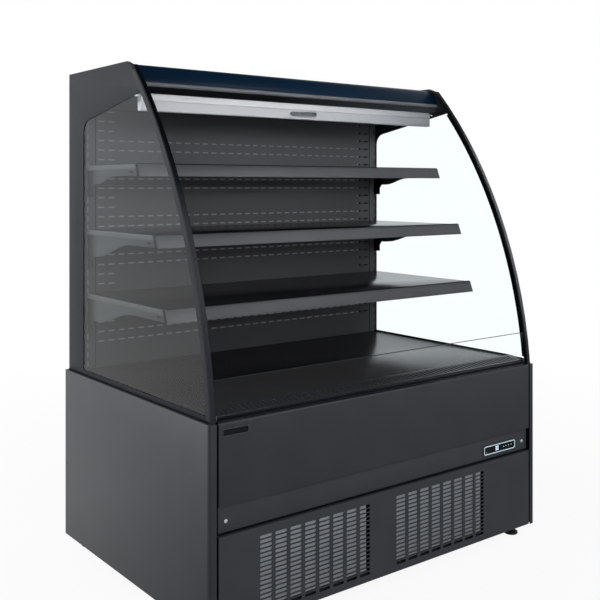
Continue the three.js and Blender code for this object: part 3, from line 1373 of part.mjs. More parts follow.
// The condenser's fin block, with the sheet shroud of its fan on its rear face
function addCondenser() {
  const bottom = PAN_FLOOR + GAP;
  const top = bottom + CONDENSER_HEIGHT;
  const half = CONDENSER_LENGTH / 2;
  const front = FRONT + CONDENSER_SETBACK;
  const rear = front + CONDENSER_DEPTH;
  const plateY = rear - SHROUD_SHEET / 2;
  const fins = finBlock(-half, half, front, rear, bottom, top, CONDENSER_FINS);
  const centre = bottom + CONDENSER_HEIGHT / 2;
  const fanY = CONDENSER_FAN_SETBACK;
  const shroud = fanPlate(half, bottom, top, [[0, centre]], CONDENSER_FAN_RADIUS, fanY);
  const joined = join(fins, shroud.translate(0, plateY, 0));
  place('condenser', joined.translate(CONDENSER_X, 0, 0), 'aluminium');
  const blades = place('condenser_fan', fan(CONDENSER_FAN_RADIUS), 'blackPlastic');
  blades.position.set(CONDENSER_X, plateY + fanY, centre);
}

function addEvaporator() {
  const floor = TUB_BOTTOM + TUB_FLOOR + GAP;
  const rear = REAR_WALL_Y - EVAPORATOR_SETBACK;
  const front = rear - EVAPORATOR_DEPTH;
  const tubHalf = INSIDE_HALF - TUB_WALL;
  const coilHalf = tubHalf - EVAPORATOR_SIDE_GAP;
  const coilTop = floor + EVAPORATOR_HEIGHT;
  const coil = finBlock(-coilHalf, coilHalf, front, rear, floor, coilTop, EVAPORATOR_FINS);
  place('evaporator', coil, 'aluminium');
  const half = tubHalf - GAP;
  const top = DECK_TOP - SHEET - GAP;
  const centre = (floor + top) / 2;
  const plateY = front - FAN_PLATE_GAP;
  const fanY = -EVAPORATOR_FAN_LEAD;
  const centres = [-EVAPORATOR_FAN_X, EVAPORATOR_FAN_X].map((x) => [x, centre]);
  const plate = fanPlate(half, floor, top, centres, EVAPORATOR_FAN_RADIUS, fanY);
  place('evaporator_fan_plate', plate.translate(0, plateY, 0), 'galvanised');
  for (const [name, side] of [['left', -1], ['right', 1]]) {
    const blades = place(`evaporator_fan_${name}`, fan(EVAPORATOR_FAN_RADIUS), 'blackPlastic');
    blades.position.set(side * EVAPORATOR_FAN_X, plateY + fanY, centre);
  }
}

// ---------------------------------------------------------------- assembly
place('base_pan', basePan(), 'galvanised');
place('base_side_left', baseSide(-1), 'darkCoat');
place('base_side_right', baseSide(1), 'darkCoat');
for (const [name, x, y] of footPlaces()) {
  place(`foot_${name}`, foot(), 'rubber').position.set(x, y, 0);
}
place('grille_panel', grillePanel(), 'darkCoat');
place('dust_filter', dustFilter(), 'galvanised');
place('control_strip', controlStrip(), 'darkCoat');
place('controller', controller(), 'blackPlastic');
keyOffsets().forEach((x, i) => {
  const key = place(`controller_key_${i + 1}`, controllerKey(), 'blackPlastic');
  key.position.set(CONTROLLER_X + x, STRIP_Y - CONTROLLER_WINDOW_PROUD, CONTROLLER_Z);
});
place('fascia', fascia(), 'darkCoat');
place('rear_vent_cover', rearVentCover(), 'galvanised');
place('tub', tub(), 'galvanised');
place('deck', deck(), 'shelfCoat');
place('return_air_grille', returnGrille(), 'shelfCoat');
place('front_glass', frontGlass(), 'glass');
for (const [name, side] of [['left', -1], ['right', 1]]) {
  place(`side_frame_${name}`, sideFrame(side), 'darkCoat');
  place(`side_glass_${name}`, sideGlass(side), 'glass');
  place(`edge_trim_${name}`, edgeTrim(side), 'edgeBlack');
  place(`upright_${name}`, upright(side), 'darkCoat');
}
place('back_panel', backPanel(), 'galvanised');
place('roof_panel', roofPanel(), 'darkCoat');
place('canopy_front', canopyFront(), 'navyGloss');
place('canopy_bead', canopyBead(), 'greyPlastic');
place('ceiling_panel', ceilingPanel(), 'darkCoat');
place('lamp_strip', lampStrip(), 'lampWhite');
place('blind_cassette', blindCassette(), 'darkCoat');
place('blind_roller', blindRoller(), 'blindFabric');
place('blind_fabric', blindFabric(), 'blindFabric');
place('blind_bar', blindBar(), 'whiteBar');
place('blind_handle', blindHandle(), 'greyPlastic');
place('rear_wall', rearWall(), 'darkCoat');
addShelf('top', TOP_SHELF);
addShelf('middle', MIDDLE_SHELF);
addShelf('bottom', BOTTOM_SHELF);
place('compressor', compressor(), 'compressorBlack');
addCondenser();
addEvaporator();

export default fridge;
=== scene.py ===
# %% [markdown]
# # Dressing an open multideck display fridge
# The frame holds every panel, shelf and fan at its real size. This lesson gives them their finishes,
# and adds what is too fine for the frame: punched slots, a woven blind, screws, clips and a display.
# All lengths are in metres, +Z is up, and the shopper stands on the -Y side.

# %% Load the frame
import json
import math

import bmesh
import bpy
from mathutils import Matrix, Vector

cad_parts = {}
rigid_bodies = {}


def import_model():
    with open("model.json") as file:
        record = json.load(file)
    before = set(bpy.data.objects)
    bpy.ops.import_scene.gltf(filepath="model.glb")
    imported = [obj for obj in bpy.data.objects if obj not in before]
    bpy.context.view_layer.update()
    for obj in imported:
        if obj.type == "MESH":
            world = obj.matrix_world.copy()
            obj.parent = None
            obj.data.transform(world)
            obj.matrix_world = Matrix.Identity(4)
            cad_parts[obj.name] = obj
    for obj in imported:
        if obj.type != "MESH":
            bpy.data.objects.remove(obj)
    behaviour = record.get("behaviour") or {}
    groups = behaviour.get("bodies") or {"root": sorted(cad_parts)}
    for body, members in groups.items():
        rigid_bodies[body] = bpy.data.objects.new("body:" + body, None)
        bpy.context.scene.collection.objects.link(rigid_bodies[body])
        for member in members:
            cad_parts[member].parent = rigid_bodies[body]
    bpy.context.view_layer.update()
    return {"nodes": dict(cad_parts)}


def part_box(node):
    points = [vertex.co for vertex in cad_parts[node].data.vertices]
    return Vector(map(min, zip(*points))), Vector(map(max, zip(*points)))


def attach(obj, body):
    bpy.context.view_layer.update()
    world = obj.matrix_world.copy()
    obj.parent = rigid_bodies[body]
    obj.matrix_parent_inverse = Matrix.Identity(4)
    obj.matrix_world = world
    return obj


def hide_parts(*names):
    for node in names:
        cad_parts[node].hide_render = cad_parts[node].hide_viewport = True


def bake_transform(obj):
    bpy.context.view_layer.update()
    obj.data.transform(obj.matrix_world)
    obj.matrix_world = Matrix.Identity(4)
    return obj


for leftover in list(bpy.data.objects):
    bpy.data.objects.remove(leftover)
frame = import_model()
MM = 0.001

# %% [markdown]
# ## Colours and nodes
# A colour is written the way a paint chart or a web page gives it, as sRGB hex. Blender's shaders
# work in linear light, so one function turns the one into the other. A second function adds a shader
# node with its settings and its links in a single line, which keeps a material as short as a recipe.

# %% Colour and node helpers
def linear(hex_colour):
    channels = [int(hex_colour[i:i + 2], 16) / 255 for i in (0, 2, 4)]
    return [c / 12.92 if c <= 0.04045 else ((c + 0.055) / 1.055) ** 2.4 for c in channels] + [1.0]


def add(tree, kind, inputs=(), **settings):
    """Adds a node. Each input is a plain value, or the socket that feeds it."""
    node = tree.nodes.new(kind)
    for name, value in settings.items():
        setattr(node, name, value)
    for key, value in dict(inputs).items():
        if isinstance(value, bpy.types.NodeSocket):
            tree.links.new(value, node.inputs[key])
        else:
            node.inputs[key].default_value = value
    return node


print("mid grey 808080 is", round(linear("808080")[0], 3), "in linear light")

# %% [markdown]
# ## The camera
# The picture is a two-point perspective: upright edges stay upright, so the camera is level, and the
# view is shifted instead of tilted. Its place follows from the vanishing points of the long edges.

# %% Camera
camera_data = bpy.data.cameras.new("camera")
camera_data.sensor_width = 36
camera_data.lens = 54.04
camera_data.shift_y = -0.1907
camera = bpy.data.objects.new("camera", camera_data)
camera.location = (-1.5885, -2.0335, 1.0119)
camera.rotation_euler = (math.radians(90), 0, math.radians(-37.777))
bpy.context.collection.objects.link(camera)
bpy.context.scene.camera = camera
bpy.context.scene.view_settings.view_transform = "Standard"
print("camera", tuple(camera.location), "lens", camera_data.lens, "mm")

# %% [markdown]
# ## The studio
# Dark satin steel shows its shape by what it mirrors, so the room matters more than the lamps. The
# world is plain white to the camera and through glass, and a weaker grey for soft fill light. Gloss
# sees white walls to the sides and behind, and the unlit ceiling and front end of the studio. So the
# left side and the panes carry a bright sheen, and the fascia and the canopy stay deep.

# %% World
FILL = 0.4         # strength of the grey fill, where 1 is white
DARK_FRONT = 0.12  # brightness of the studio's unlit end, as gloss sees it
RIGHT_WALL = 0.9   # brightness of the wall to the right, as gloss sees it
world = bpy.data.worlds.new("studio")
bpy.context.scene.world = world
world.use_nodes = True
sky = world.node_tree
sky.nodes.clear()
path = add(sky, "ShaderNodeLightPath")
direct = add(sky, "ShaderNodeMath", {0: path.outputs["Is Camera Ray"],
                                     1: path.outputs["Is Transmission Ray"]}, operation="MAXIMUM")
heading = add(sky, "ShaderNodeSeparateXYZ", {0: add(sky, "ShaderNodeTexCoord").outputs["Generated"]})
walls = add(sky, "ShaderNodeMapRange", {"Value": heading.outputs["Y"], "From Min": -0.45, "From Max": 0.15,
                                        "To Min": DARK_FRONT, "To Max": 1.0},
            interpolation_type="SMOOTHSTEP")
ceiling = add(sky, "ShaderNodeMapRange", {"Value": heading.outputs["Z"], "From Min": 0.4, "From Max": 0.8,
                                          "To Min": 1.0, "To Max": DARK_FRONT},
              interpolation_type="SMOOTHSTEP")
side_wall = add(sky, "ShaderNodeMapRange", {"Value": heading.outputs["X"], "From Min": 0.5, "From Max": 0.8,
                                            "To Min": 0.0, "To Max": RIGHT_WALL},
                interpolation_type="SMOOTHSTEP")
walls = add(sky, "ShaderNodeMath", {0: walls.outputs[0], 1: side_wall.outputs[0]}, operation="MAXIMUM")
room = add(sky, "ShaderNodeMath", {0: walls.outputs[0], 1: ceiling.outputs[0]}, operation="MULTIPLY")
fill = add(sky, "ShaderNodeBackground", {"Color": linear("f8faff"), "Strength": FILL})
gloss = add(sky, "ShaderNodeBackground", {"Color": linear("fafbff"), "Strength": room.outputs[0]})
white = add(sky, "ShaderNodeBackground", {"Color": linear("ffffff"), "Strength": 1.0})
mixed = add(sky, "ShaderNodeMixShader", {0: path.outputs["Is Glossy Ray"], 1: fill.outputs[0],
                                         2: gloss.outputs[0]})
mixed = add(sky, "ShaderNodeMixShader", {0: direct.outputs[0], 1: mixed.outputs[0], 2: white.outputs[0]})
add(sky, "ShaderNodeOutputWorld", {"Surface": mixed.outputs[0]})
print("fill", FILL, "of white")


# %% Lamps
def softbox(name, place, target, size, watts, spread=180):
    """A round soft lamp. A smaller spread is the grid that a photographer clips on to narrow it."""
    data = bpy.data.lights.new(name, "AREA")
    data.shape = "DISK"
    data.size = size
    data.energy = watts
    data.spread = math.radians(spread)
    data.color = linear("fbfcff")[:3]  # daylight tubes, a touch cool
    lamp = bpy.data.objects.new(name, data)
    lamp.location = place
    lamp.rotation_euler = (Vector(target) - Vector(place)).to_track_quat("-Z", "Y").to_euler()
    bpy.context.collection.objects.link(lamp)


softbox("left_soft", (-3.6, 2.1, 1.8), (-0.5, 0.0, 0.5), 1.6, 120)
softbox("front_soft", (-0.3, -3.6, 1.7), (0.0, 0.0, 0.7), 2.2, 30)
softbox("front_top", (1.3, -2.8, 2.9), (0.0, 0.0, 0.8), 1.6, 34)
softbox("shelf_grid", (-0.35, -3.3, 1.55), (0.08, 0.28, 1.02), 0.9, 1.4, spread=22)

# %% [markdown]
# ## The floor
# A white floor that still keeps a shadow: to the camera most of it glows plain white, and the small
# rest is a matt white surface, which darkens a little where the cabinet stands in its light. Further
# off the glow takes over, so that no horizon shows. Gloss sees the floor's unlit front end darker, as
# it sees the room, which lets the front foot of the cabinet grow darker towards the ground.

# %% Floor
FLOOR_GLOW = 0.92  # share of the floor's brightness near the cabinet that no shadow reaches
REAR_FLOOR = 0.95  # brightness of the floor behind the cabinet, as gloss sees it
FLOOR_HALF = 7.0
floor_material = bpy.data.materials.new("matt_white_studio_floor")
floor_material.use_nodes = True
tree = floor_material.node_tree
tree.nodes.clear()
path = add(tree, "ShaderNodeLightPath")
seen = add(tree, "ShaderNodeMath", {0: path.outputs["Is Camera Ray"],
                                    1: path.outputs["Is Transmission Ray"]}, operation="MAXIMUM")
seen = add(tree, "ShaderNodeMath", {0: seen.outputs[0], 1: path.outputs["Is Glossy Ray"]},
           operation="MAXIMUM")
spot = add(tree, "ShaderNodeTexCoord").outputs["Object"]
rearward = add(tree, "ShaderNodeSeparateXYZ", {0: spot})
in_gloss = add(tree, "ShaderNodeMapRange", {"Value": rearward.outputs["Y"], "From Min": -0.6, "From Max": 0.7,
                                            "To Min": DARK_FRONT, "To Max": REAR_FLOOR})
strength = add(tree, "ShaderNodeMix", {0: path.outputs["Is Glossy Ray"], 2: 1.0, 3: in_gloss.outputs[0]})
far = add(tree, "ShaderNodeVectorMath", {0: spot}, operation="LENGTH")
glow_share = add(tree, "ShaderNodeMapRange", {"Value": far.outputs["Value"], "From Min": 1.0, "From Max": 3.0,
                                              "To Min": FLOOR_GLOW, "To Max": 1.0})
share = add(tree, "ShaderNodeMath", {0: seen.outputs[0], 1: glow_share.outputs[0]}, operation="MULTIPLY")
matt = add(tree, "ShaderNodeBsdfDiffuse", {"Color": linear("e6e7e8")})
glow = add(tree, "ShaderNodeEmission", {"Color": linear("ffffff"), "Strength": strength.outputs[0]})
mixed = add(tree, "ShaderNodeMixShader", {0: share.outputs[0], 1: matt.outputs[0], 2: glow.outputs[0]})
add(tree, "ShaderNodeOutputMaterial", {"Surface": mixed.outputs[0]})
floor_mesh = bpy.data.meshes.new("floor")
floor_mesh.from_pydata([(-FLOOR_HALF, -FLOOR_HALF, 0), (FLOOR_HALF, -FLOOR_HALF, 0),
                        (FLOOR_HALF, FLOOR_HALF, 0), (-FLOOR_HALF, FLOOR_HALF, 0)], [], [(0, 1, 2, 3)])
floor = bpy.data.objects.new("floor", floor_mesh)
floor_mesh.materials.append(floor_material)
bpy.context.collection.objects.link(floor)
print("floor", 2 * FLOOR_HALF, "m square")

# %% [markdown]
# ## Finishes
# Each finish starts from a Principled shader with the colour, roughness and IOR of the real material.
# Two things are shared by nearly all of them. The first is a fine grain in the surface, as a bump with
# the real spacing of the grain. The second is a slow drift in tone, because no real panel is one flat
# colour. Both are functions here, so a recipe below only gives sizes in millimetres.


# %% Shader helpers
def finish(name, colour, roughness, metallic=0.0, ior=1.5):
    made = bpy.data.materials.new(name)
    made.use_nodes = True
    shader = made.node_tree.nodes["Principled BSDF"]
    shader.inputs["Base Color"].default_value = linear(colour)
    shader.inputs["Roughness"].default_value = roughness
    shader.inputs["Metallic"].default_value = metallic
    shader.inputs["IOR"].default_value = ior
    return made, made.node_tree, shader


def position(tree):
    """A point's place on the piece, in metres."""
    return add(tree, "ShaderNodeTexCoord").outputs["Object"]


def grain(tree, shader, spacing_mm, depth_mm, strength, edge_mm=0.8):
    """Fine relief with that spacing, over edges that catch light as if rounded."""
    noise = add(tree, "ShaderNodeTexNoise", {"Vector": position(tree), "Scale": 1 / (spacing_mm * MM),
                                             "Detail": 2.0})
    edge = add(tree, "ShaderNodeBevel", {"Radius": edge_mm * MM}, samples=4)
    bump = add(tree, "ShaderNodeBump", {"Strength": strength, "Distance": depth_mm * MM,
                                        "Height": noise.outputs[0], "Normal": edge.outputs[0]})
    tree.links.new(bump.outputs[0], shader.inputs["Normal"])


def drift(tree, shader, colour_a, colour_b, spacing_mm):
    """The base colour wanders slowly between two close tones. Gives back the ramp between them."""
    noise = add(tree, "ShaderNodeTexNoise", {"Vector": position(tree), "Scale": 1 / (spacing_mm * MM),
                                             "Detail": 3.0})
    ramp = add(tree, "ShaderNodeValToRGB", {"Fac": noise.outputs[0]})
    ramp.color_ramp.elements[0].position = 0.35
    ramp.color_ramp.elements[1].position = 0.65
    ramp.color_ramp.elements[0].color = linear(colour_a)
    ramp.color_ramp.elements[1].color = linear(colour_b)
    tree.links.new(ramp.outputs[0], shader.inputs["Base Color"])
    return ramp


print("finish, grain and drift are ready")


# %% Tone helpers
def tone_along(tree, axis, stops):
    """A colour that changes along one axis of the cabinet. A stop is (millimetres, colour)."""
    start, end = stops[0][0] * MM, stops[-1][0] * MM
    place = add(tree, "ShaderNodeSeparateXYZ", {0: position(tree)})
    share = add(tree, "ShaderNodeMapRange", {"Value": place.outputs[axis], "From Min": start,
                                             "From Max": end})
    ramp = add(tree, "ShaderNodeValToRGB", {"Fac": share.outputs[0]})
    for index, (distance, colour) in enumerate(stops):
        at = (distance * MM - start) / (end - start)
        if index in (0, len(stops) - 1):
            element = ramp.color_ramp.elements[0 if index == 0 else -1]
            element.position = at
        else:
            element = ramp.color_ramp.elements.new(at)
        element.color = linear(colour)
    return ramp.outputs[0]


def mix_colours(tree, share, colour_a, colour_b, blend="MIX"):
    """Inputs 6 and 7 of the node are its two colours, and output 2 is their mix."""
    return add(tree, "ShaderNodeMix", {0: share, 6: colour_a, 7: colour_b}, data_type="RGBA",
               blend_type=blend).outputs[2]


print("tones can run along an axis, and mix")

# %% [markdown]
# ## Powder coat
# The cabinet is folded steel under a polyester powder coat. The powder melts in an oven and leaves
# "orange peel": soft waves about 1.5 mm across. It gives a satin surface that mirrors broad lamps
# without an image in it. The shelves and the deck wear a smoother, glossier coat that wipes clean.

# %% Powder-coated steel
def powder_coated(name, colour_a, colour_b, roughness, specular, peel_mm=1.5, strength=0.25):
    """Two close tones of one powder. The specular level sets how strong the sheen is."""
    made, tree, shader = finish(name, colour_a, roughness)
    drift(tree, shader, colour_a, colour_b, 90)
    grain(tree, shader, spacing_mm=peel_mm, depth_mm=0.02, strength=strength)
    shader.inputs["Specular IOR Level"].default_value = specular
    return made


powder_coat = powder_coated("powder_coated_steel", "313336", "343639", 0.46, 0.3)
front_coat = powder_coated("powder_coated_front_steel", "383a3d", "3b3d40", 0.46, 0.3)
frame_coat = powder_coated("dull_powder_coated_steel", "282a2d", "2b2d30", 0.55, 0.1)
wall_coat = powder_coated("powder_coated_wall_steel", "47484a", "4a4b4d", 0.5, 0.2)
rail_coat = powder_coated("powder_coated_rail_steel", "3a3b3d", "3e3f41", 0.48, 0.4)
deck_coat = powder_coated("gloss_powder_coated_deck_steel", "111213", "151617", 0.27, 0.24,
                          peel_mm=2.0, strength=0.01)
return_coat = powder_coated("satin_powder_coated_return_steel", "0d1117", "10151b", 0.33, 0.16)
leg_coat = powder_coated("powder_coated_channel_leg", "2a2b2e", "2d2e31", 0.5, 0.1)
print("powder coats:", [m.name for m in (powder_coat, front_coat, frame_coat, wall_coat, rail_coat,
                                         deck_coat, return_coat, leg_coat)])

# %% [markdown]
# ## Coats that change over a piece
# The rear wall is drawn darker towards the deck, where the photo's light hardly reaches. The brackets
# sit in the shadow of the side frames at their rear, and the photo shows them nearly black there, so
# their tone runs from dark at the upright to grey. The shelves are glossy on top, and their end flanges
# are duller and painted near-black, a painted shade that dims what they would mirror.


# %% Rear wall, brackets and shelves
def shade_along(coat, axis, stops):
    """Takes a coat's even tone away, for one that changes along an axis of the cabinet."""
    tone = tone_along(coat.node_tree, axis, stops)
    coat.node_tree.links.new(tone, coat.node_tree.nodes["Principled BSDF"].inputs["Base Color"])


shade_along(wall_coat, "Z", [(600, "3c3d3e"), (790, "3e3f40"), (960, "454647"), (1130, "4e4f51")])
bracket_coat = powder_coated("powder_coated_bracket_steel", "3c3c3d", "3f3f40", 0.45, 0.03)
shade_along(bracket_coat, "Y", [(215, "3d3d3e"), (236, "303030"), (258, "0c0c0c"), (290, "040404")])

FLANGE = 533.2 * MM              # the end flange of a shelf begins here, either side of the middle
SHELF_SHINE, FLANGE_ROUGHNESS = 0.22, 0.6  # roughness of a shelf's top, and of its flanges
shelf_coat = powder_coated("gloss_powder_coated_shelf_steel", "18191b", "1b1c1e", SHELF_SHINE, 0.6,
                           peel_mm=1.8, strength=0.02)
tree = shelf_coat.node_tree
shader = tree.nodes["Principled BSDF"]
across = add(tree, "ShaderNodeSeparateXYZ", {0: position(tree)})
off_middle = add(tree, "ShaderNodeMath", {0: across.outputs["X"]}, operation="ABSOLUTE")
on_flange = add(tree, "ShaderNodeMath", {0: off_middle.outputs[0], 1: FLANGE}, operation="GREATER_THAN")
top_tone = shader.inputs["Base Color"].links[0].from_socket
# The flanges' near-black colour is painted shade.
flange_painted_shade = mix_colours(tree, on_flange.outputs[0], top_tone, linear("070707"))
tree.links.new(flange_painted_shade, shader.inputs["Base Color"])
flange_roughness = add(tree, "ShaderNodeMapRange", {"Value": on_flange.outputs[0], "To Min": SHELF_SHINE,
                                          "To Max": FLANGE_ROUGHNESS})
tree.links.new(flange_roughness.outputs[0], shader.inputs["Roughness"])
print("bracket and shelf coats:", bracket_coat.name, shelf_coat.name)

# %% [markdown]
# ## Gloss, glass and plastics
# The canopy's face is a navy lacquer over steel, smooth and deep. The curved channels on the glass
# edges are extruded black PVC with a hint of blue. The panes are toughened float glass. A flat pane
# neither bends nor hides what is behind it, so it is drawn as a clear sheet with a mirror laid over
# it, whose strength grows at a glancing view as it does on real glass.

# %% Navy lacquer
SHADED_FOLD_TOP = 1262 * MM  # below this height, behind the bead, the fold is painted near-black as shade, lighter to the right as a painted reflection
navy, tree, shader = finish("navy_lacquered_steel", "05192a", 0.32)
ramp = drift(tree, shader, "041828", "061c2f", 400)
height = add(tree, "ShaderNodeSeparateXYZ", {0: position(tree)})
below = add(tree, "ShaderNodeMath", {0: height.outputs["Z"], 1: SHADED_FOLD_TOP}, operation="LESS_THAN")
# The fold's tone is painted shade, lightening towards the right as a painted reflection.
fold_shade_and_reflection = tone_along(tree, "X", [(-100, "0b0c0e"), (300, "25282a"), (500, "303335")])
tree.links.new(mix_colours(tree, below.outputs[0], ramp.outputs[0], fold_shade_and_reflection), shader.inputs["Base Color"])
grain(tree, shader, spacing_mm=1.2, depth_mm=0.004, strength=0.08)
shader.inputs["Specular IOR Level"].default_value = 0.06
print("lacquer:", navy.name)

# %% Extruded channels
CHANNEL_INSIDE = 533.2 * MM  # what lies nearer the middle than this is a channel's inner face


def channel_with_painted_reflection(name, stops, sheen):
    """Extruded black PVC, with painted reflection and shade as its tone along the height. Its inner face,
    towards the shelves, stays plain black.
    """
    made, tree, shader = finish(name, "090f15", 0.5)
    inner = add(tree, "ShaderNodeSeparateXYZ", {0: position(tree)})
    inner = add(tree, "ShaderNodeMath", {0: inner.outputs["X"]}, operation="ABSOLUTE")
    inner = add(tree, "ShaderNodeMath", {0: inner.outputs[0], 1: CHANNEL_INSIDE}, operation="LESS_THAN")
    tone = mix_colours(tree, inner.outputs[0], tone_along(tree, "Z", stops), linear("060708"))
    tree.links.new(tone, shader.inputs["Base Color"])
    grain(tree, shader, spacing_mm=0.8, depth_mm=0.006, strength=0.15, edge_mm=1.0)
    shader.inputs["Specular IOR Level"].default_value = sheen
    return made


# Each channel's tone along the height is a painted reflection: dark with a blue cast at the top on the left,
# grey on the right.
left_channel = channel_with_painted_reflection("black_pvc_with_painted_reflection_left", [(640, "2a2c31"), (800, "36383b"), (930, "2c2e31"),
                                                         (1020, "0a1016"), (1110, "010407")], 0.05)
right_channel = channel_with_painted_reflection("black_pvc_with_painted_reflection_right", [(560, "202123"), (640, "46484a"),
                                                           (800, "505254"), (1080, "545658"),
                                                           (1200, "0e1013")], 0.2)
print("channels:", left_channel.name, right_channel.name)

# %% Bead and moulded plastics
bead_grey, tree, shader = finish("extruded_grey_pvc", "5a5b5d", 0.42)
drift(tree, shader, "5b5d60", "616366", 80)
grain(tree, shader, spacing_mm=0.9, depth_mm=0.006, strength=0.15)
shader.inputs["Specular IOR Level"].default_value = 0.3

matt_black, tree, shader = finish("moulded_matt_black_polypropylene", "08080a", 0.7)
drift(tree, shader, "070708", "0b0b0d", 8)
grain(tree, shader, spacing_mm=0.6, depth_mm=0.01, strength=0.2, edge_mm=0.3)
shader.inputs["Specular IOR Level"].default_value = 0.03

black_abs, tree, shader = finish("moulded_black_abs", "141517", 0.42)
drift(tree, shader, "131416", "17181a", 25)
grain(tree, shader, spacing_mm=0.6, depth_mm=0.015, strength=0.3, edge_mm=0.4)
shader.inputs["Specular IOR Level"].default_value = 0.15

foot_nylon, tree, shader = finish("moulded_black_nylon", "1a1b1c", 0.6)
drift(tree, shader, "171819", "1f2021", 12)
grain(tree, shader, spacing_mm=0.8, depth_mm=0.03, strength=0.4)
print("plastics:", [m.name for m in (bead_grey, matt_black, black_abs, foot_nylon)])

# %% Toughened glass
FACE_MIRROR = 0.04  # share of the light that one face of a pane mirrors, seen straight on


def pane(name, tint, mirror_share):
    """Float glass: clear, with a weak mirror that grows at a glancing view (Schlick's rule). Only a
    face that looks at the viewer mirrors, for both faces of the sheet at once. The mirror is added to
    the clear sheet, whose tint already counts all that the glass takes away. The mirror share makes it
    weaker or stronger, as the photo's surroundings were dimmer or brighter than this studio."""
    made, tree, shader = finish(name, tint, 0.0)
    tree.nodes.remove(shader)
    facing = add(tree, "ShaderNodeLayerWeight", {"Blend": 0.5}).outputs["Facing"]
    grazing = add(tree, "ShaderNodeMath", {0: facing, 1: 5.0}, operation="POWER")
    mirrored = add(tree, "ShaderNodeMath", {0: grazing.outputs[0],
                                            1: (1 - FACE_MIRROR) * 2 * mirror_share,
                                            2: FACE_MIRROR * 2 * mirror_share}, operation="MULTIPLY_ADD")
    rear_side = add(tree, "ShaderNodeNewGeometry").outputs["Backfacing"]
    front = add(tree, "ShaderNodeMath", {0: 1.0, 1: rear_side}, operation="SUBTRACT")
    share = add(tree, "ShaderNodeMath", {0: mirrored.outputs[0], 1: front.outputs[0]}, operation="MULTIPLY")
    clear = add(tree, "ShaderNodeBsdfTransparent", {"Color": linear(tint)})
    gloss = add(tree, "ShaderNodeBsdfGlossy", {"Color": linear("fefefe"), "Roughness": 0.0})
    mirror = add(tree, "ShaderNodeMixShader", {0: share.outputs[0], 2: gloss.outputs[0]})
    both = add(tree, "ShaderNodeAddShader", {0: clear.outputs[0], 1: mirror.outputs[0]})
    tree.links.new(both.outputs[0], tree.nodes["Material Output"].inputs["Surface"])
    return made


side_pane = pane("toughened_side_glass", "fcffff", mirror_share=0.42)
front_pane = pane("toughened_front_glass", "feffff", mirror_share=1.2)
print("panes:", side_pane.name, front_pane.name)

# %% [markdown]
# ## Bare and galvanised metal
# Hidden panels are hot-dip galvanised steel, whose zinc freezes into flat crystals, the spangle, about
# 8 mm across. A Voronoi cell gives each crystal its own tone. Fins are bare aluminium, and screws are
# zinc plate. Metals keep the default IOR.


# %% Metals
def spangled(name, colour_a, colour_b, crystal_mm, roughness):
    made, tree, shader = finish(name, colour_a, roughness, metallic=0.75)
    cells = add(tree, "ShaderNodeTexVoronoi", {"Vector": position(tree), "Scale": 1 / (crystal_mm * MM)})
    ramp = add(tree, "ShaderNodeValToRGB", {"Fac": cells.outputs["Color"]})
    ramp.color_ramp.elements[0].color = linear(colour_a)
    ramp.color_ramp.elements[1].color = linear(colour_b)
    tree.links.new(ramp.outputs[0], shader.inputs["Base Color"])
    grain(tree, shader, spacing_mm=crystal_mm / 4, depth_mm=0.01, strength=0.15)
    return made


galvanised = spangled("hot_dip_galvanised_steel", "8b9093", "a3a8aa", 8, 0.45)
BAFFLE_PAINTED_GLOW = 0.055  # a painted glow, which makes the baffle's dashes look lit from behind
baffle_steel = spangled("galvanised_steel_with_painted_glow", "5a5d5f", "67696b", 8, 0.5)
baffle_shader = baffle_steel.node_tree.nodes["Principled BSDF"]
baffle_shader.inputs["Emission Color"].default_value = linear("f4f8ff")
baffle_shader.inputs["Emission Strength"].default_value = BAFFLE_PAINTED_GLOW
filter_knit = spangled("knitted_aluminium_filter", "9a9fa3", "c3c8cb", 1.6, 0.6)
fin_aluminium = spangled("pressed_fin_aluminium", "9b9fa1", "b0b4b6", 3, 0.4)
zinc, tree, shader = finish("zinc_plated_steel", "e6e8e9", 0.35, metallic=0.25)
grain(tree, shader, spacing_mm=0.7, depth_mm=0.005, strength=0.2, edge_mm=0.3)
handle_metal, tree, shader = finish("satin_die_cast_zinc", "82878b", 0.3, metallic=0.9)
drift(tree, shader, "7c8185", "888d91", 10)
grain(tree, shader, spacing_mm=0.5, depth_mm=0.004, strength=0.2, edge_mm=0.4)
compressor_enamel, tree, shader = finish("black_baked_enamel", "131313", 0.3)
drift(tree, shader, "111111", "171717", 30)
grain(tree, shader, spacing_mm=2.5, depth_mm=0.03, strength=0.2)
print("metals:", [m.name for m in (galvanised, baffle_steel, filter_knit, fin_aluminium, zinc,
                                   handle_metal, compressor_enamel)])

# %% [markdown]
# ## Light-coloured parts
# The blind's pull bar is extruded aluminium under white lacquer. The blind is a woven polyester sheet
# with a PVC coat: threads 1.2 mm apart, drawn at 2.4 mm so that they show. The lamp is off in the photo,
# and its smoked polycarbonate cover is dark then. The bar is drawn darker towards its right end, where
# the photo's light falls off.

# %% White lacquer, fabric and opal cover
BAR_STEP = 1229 * MM  # the bar's face steps back below this height
bar_white, tree, shader = finish("white_lacquered_aluminium", "babbbc", 0.42)
along = tone_along(tree, "X", [(-525, "c8c8c9"), (-50, "b8b9b9"), (300, "a2a4a6"), (500, "85888a")])
height = add(tree, "ShaderNodeSeparateXYZ", {0: position(tree)})
below = add(tree, "ShaderNodeMath", {0: height.outputs["Z"], 1: BAR_STEP}, operation="LESS_THAN")
# Below the step the face is multiplied a shade darker: painted shade.
tone = mix_colours(tree, below.outputs[0], along, linear("eeeeef"), blend="MULTIPLY")
tree.links.new(tone, shader.inputs["Base Color"])
grain(tree, shader, spacing_mm=1.5, depth_mm=0.006, strength=0.03)
shader.inputs["Specular IOR Level"].default_value = 0.2

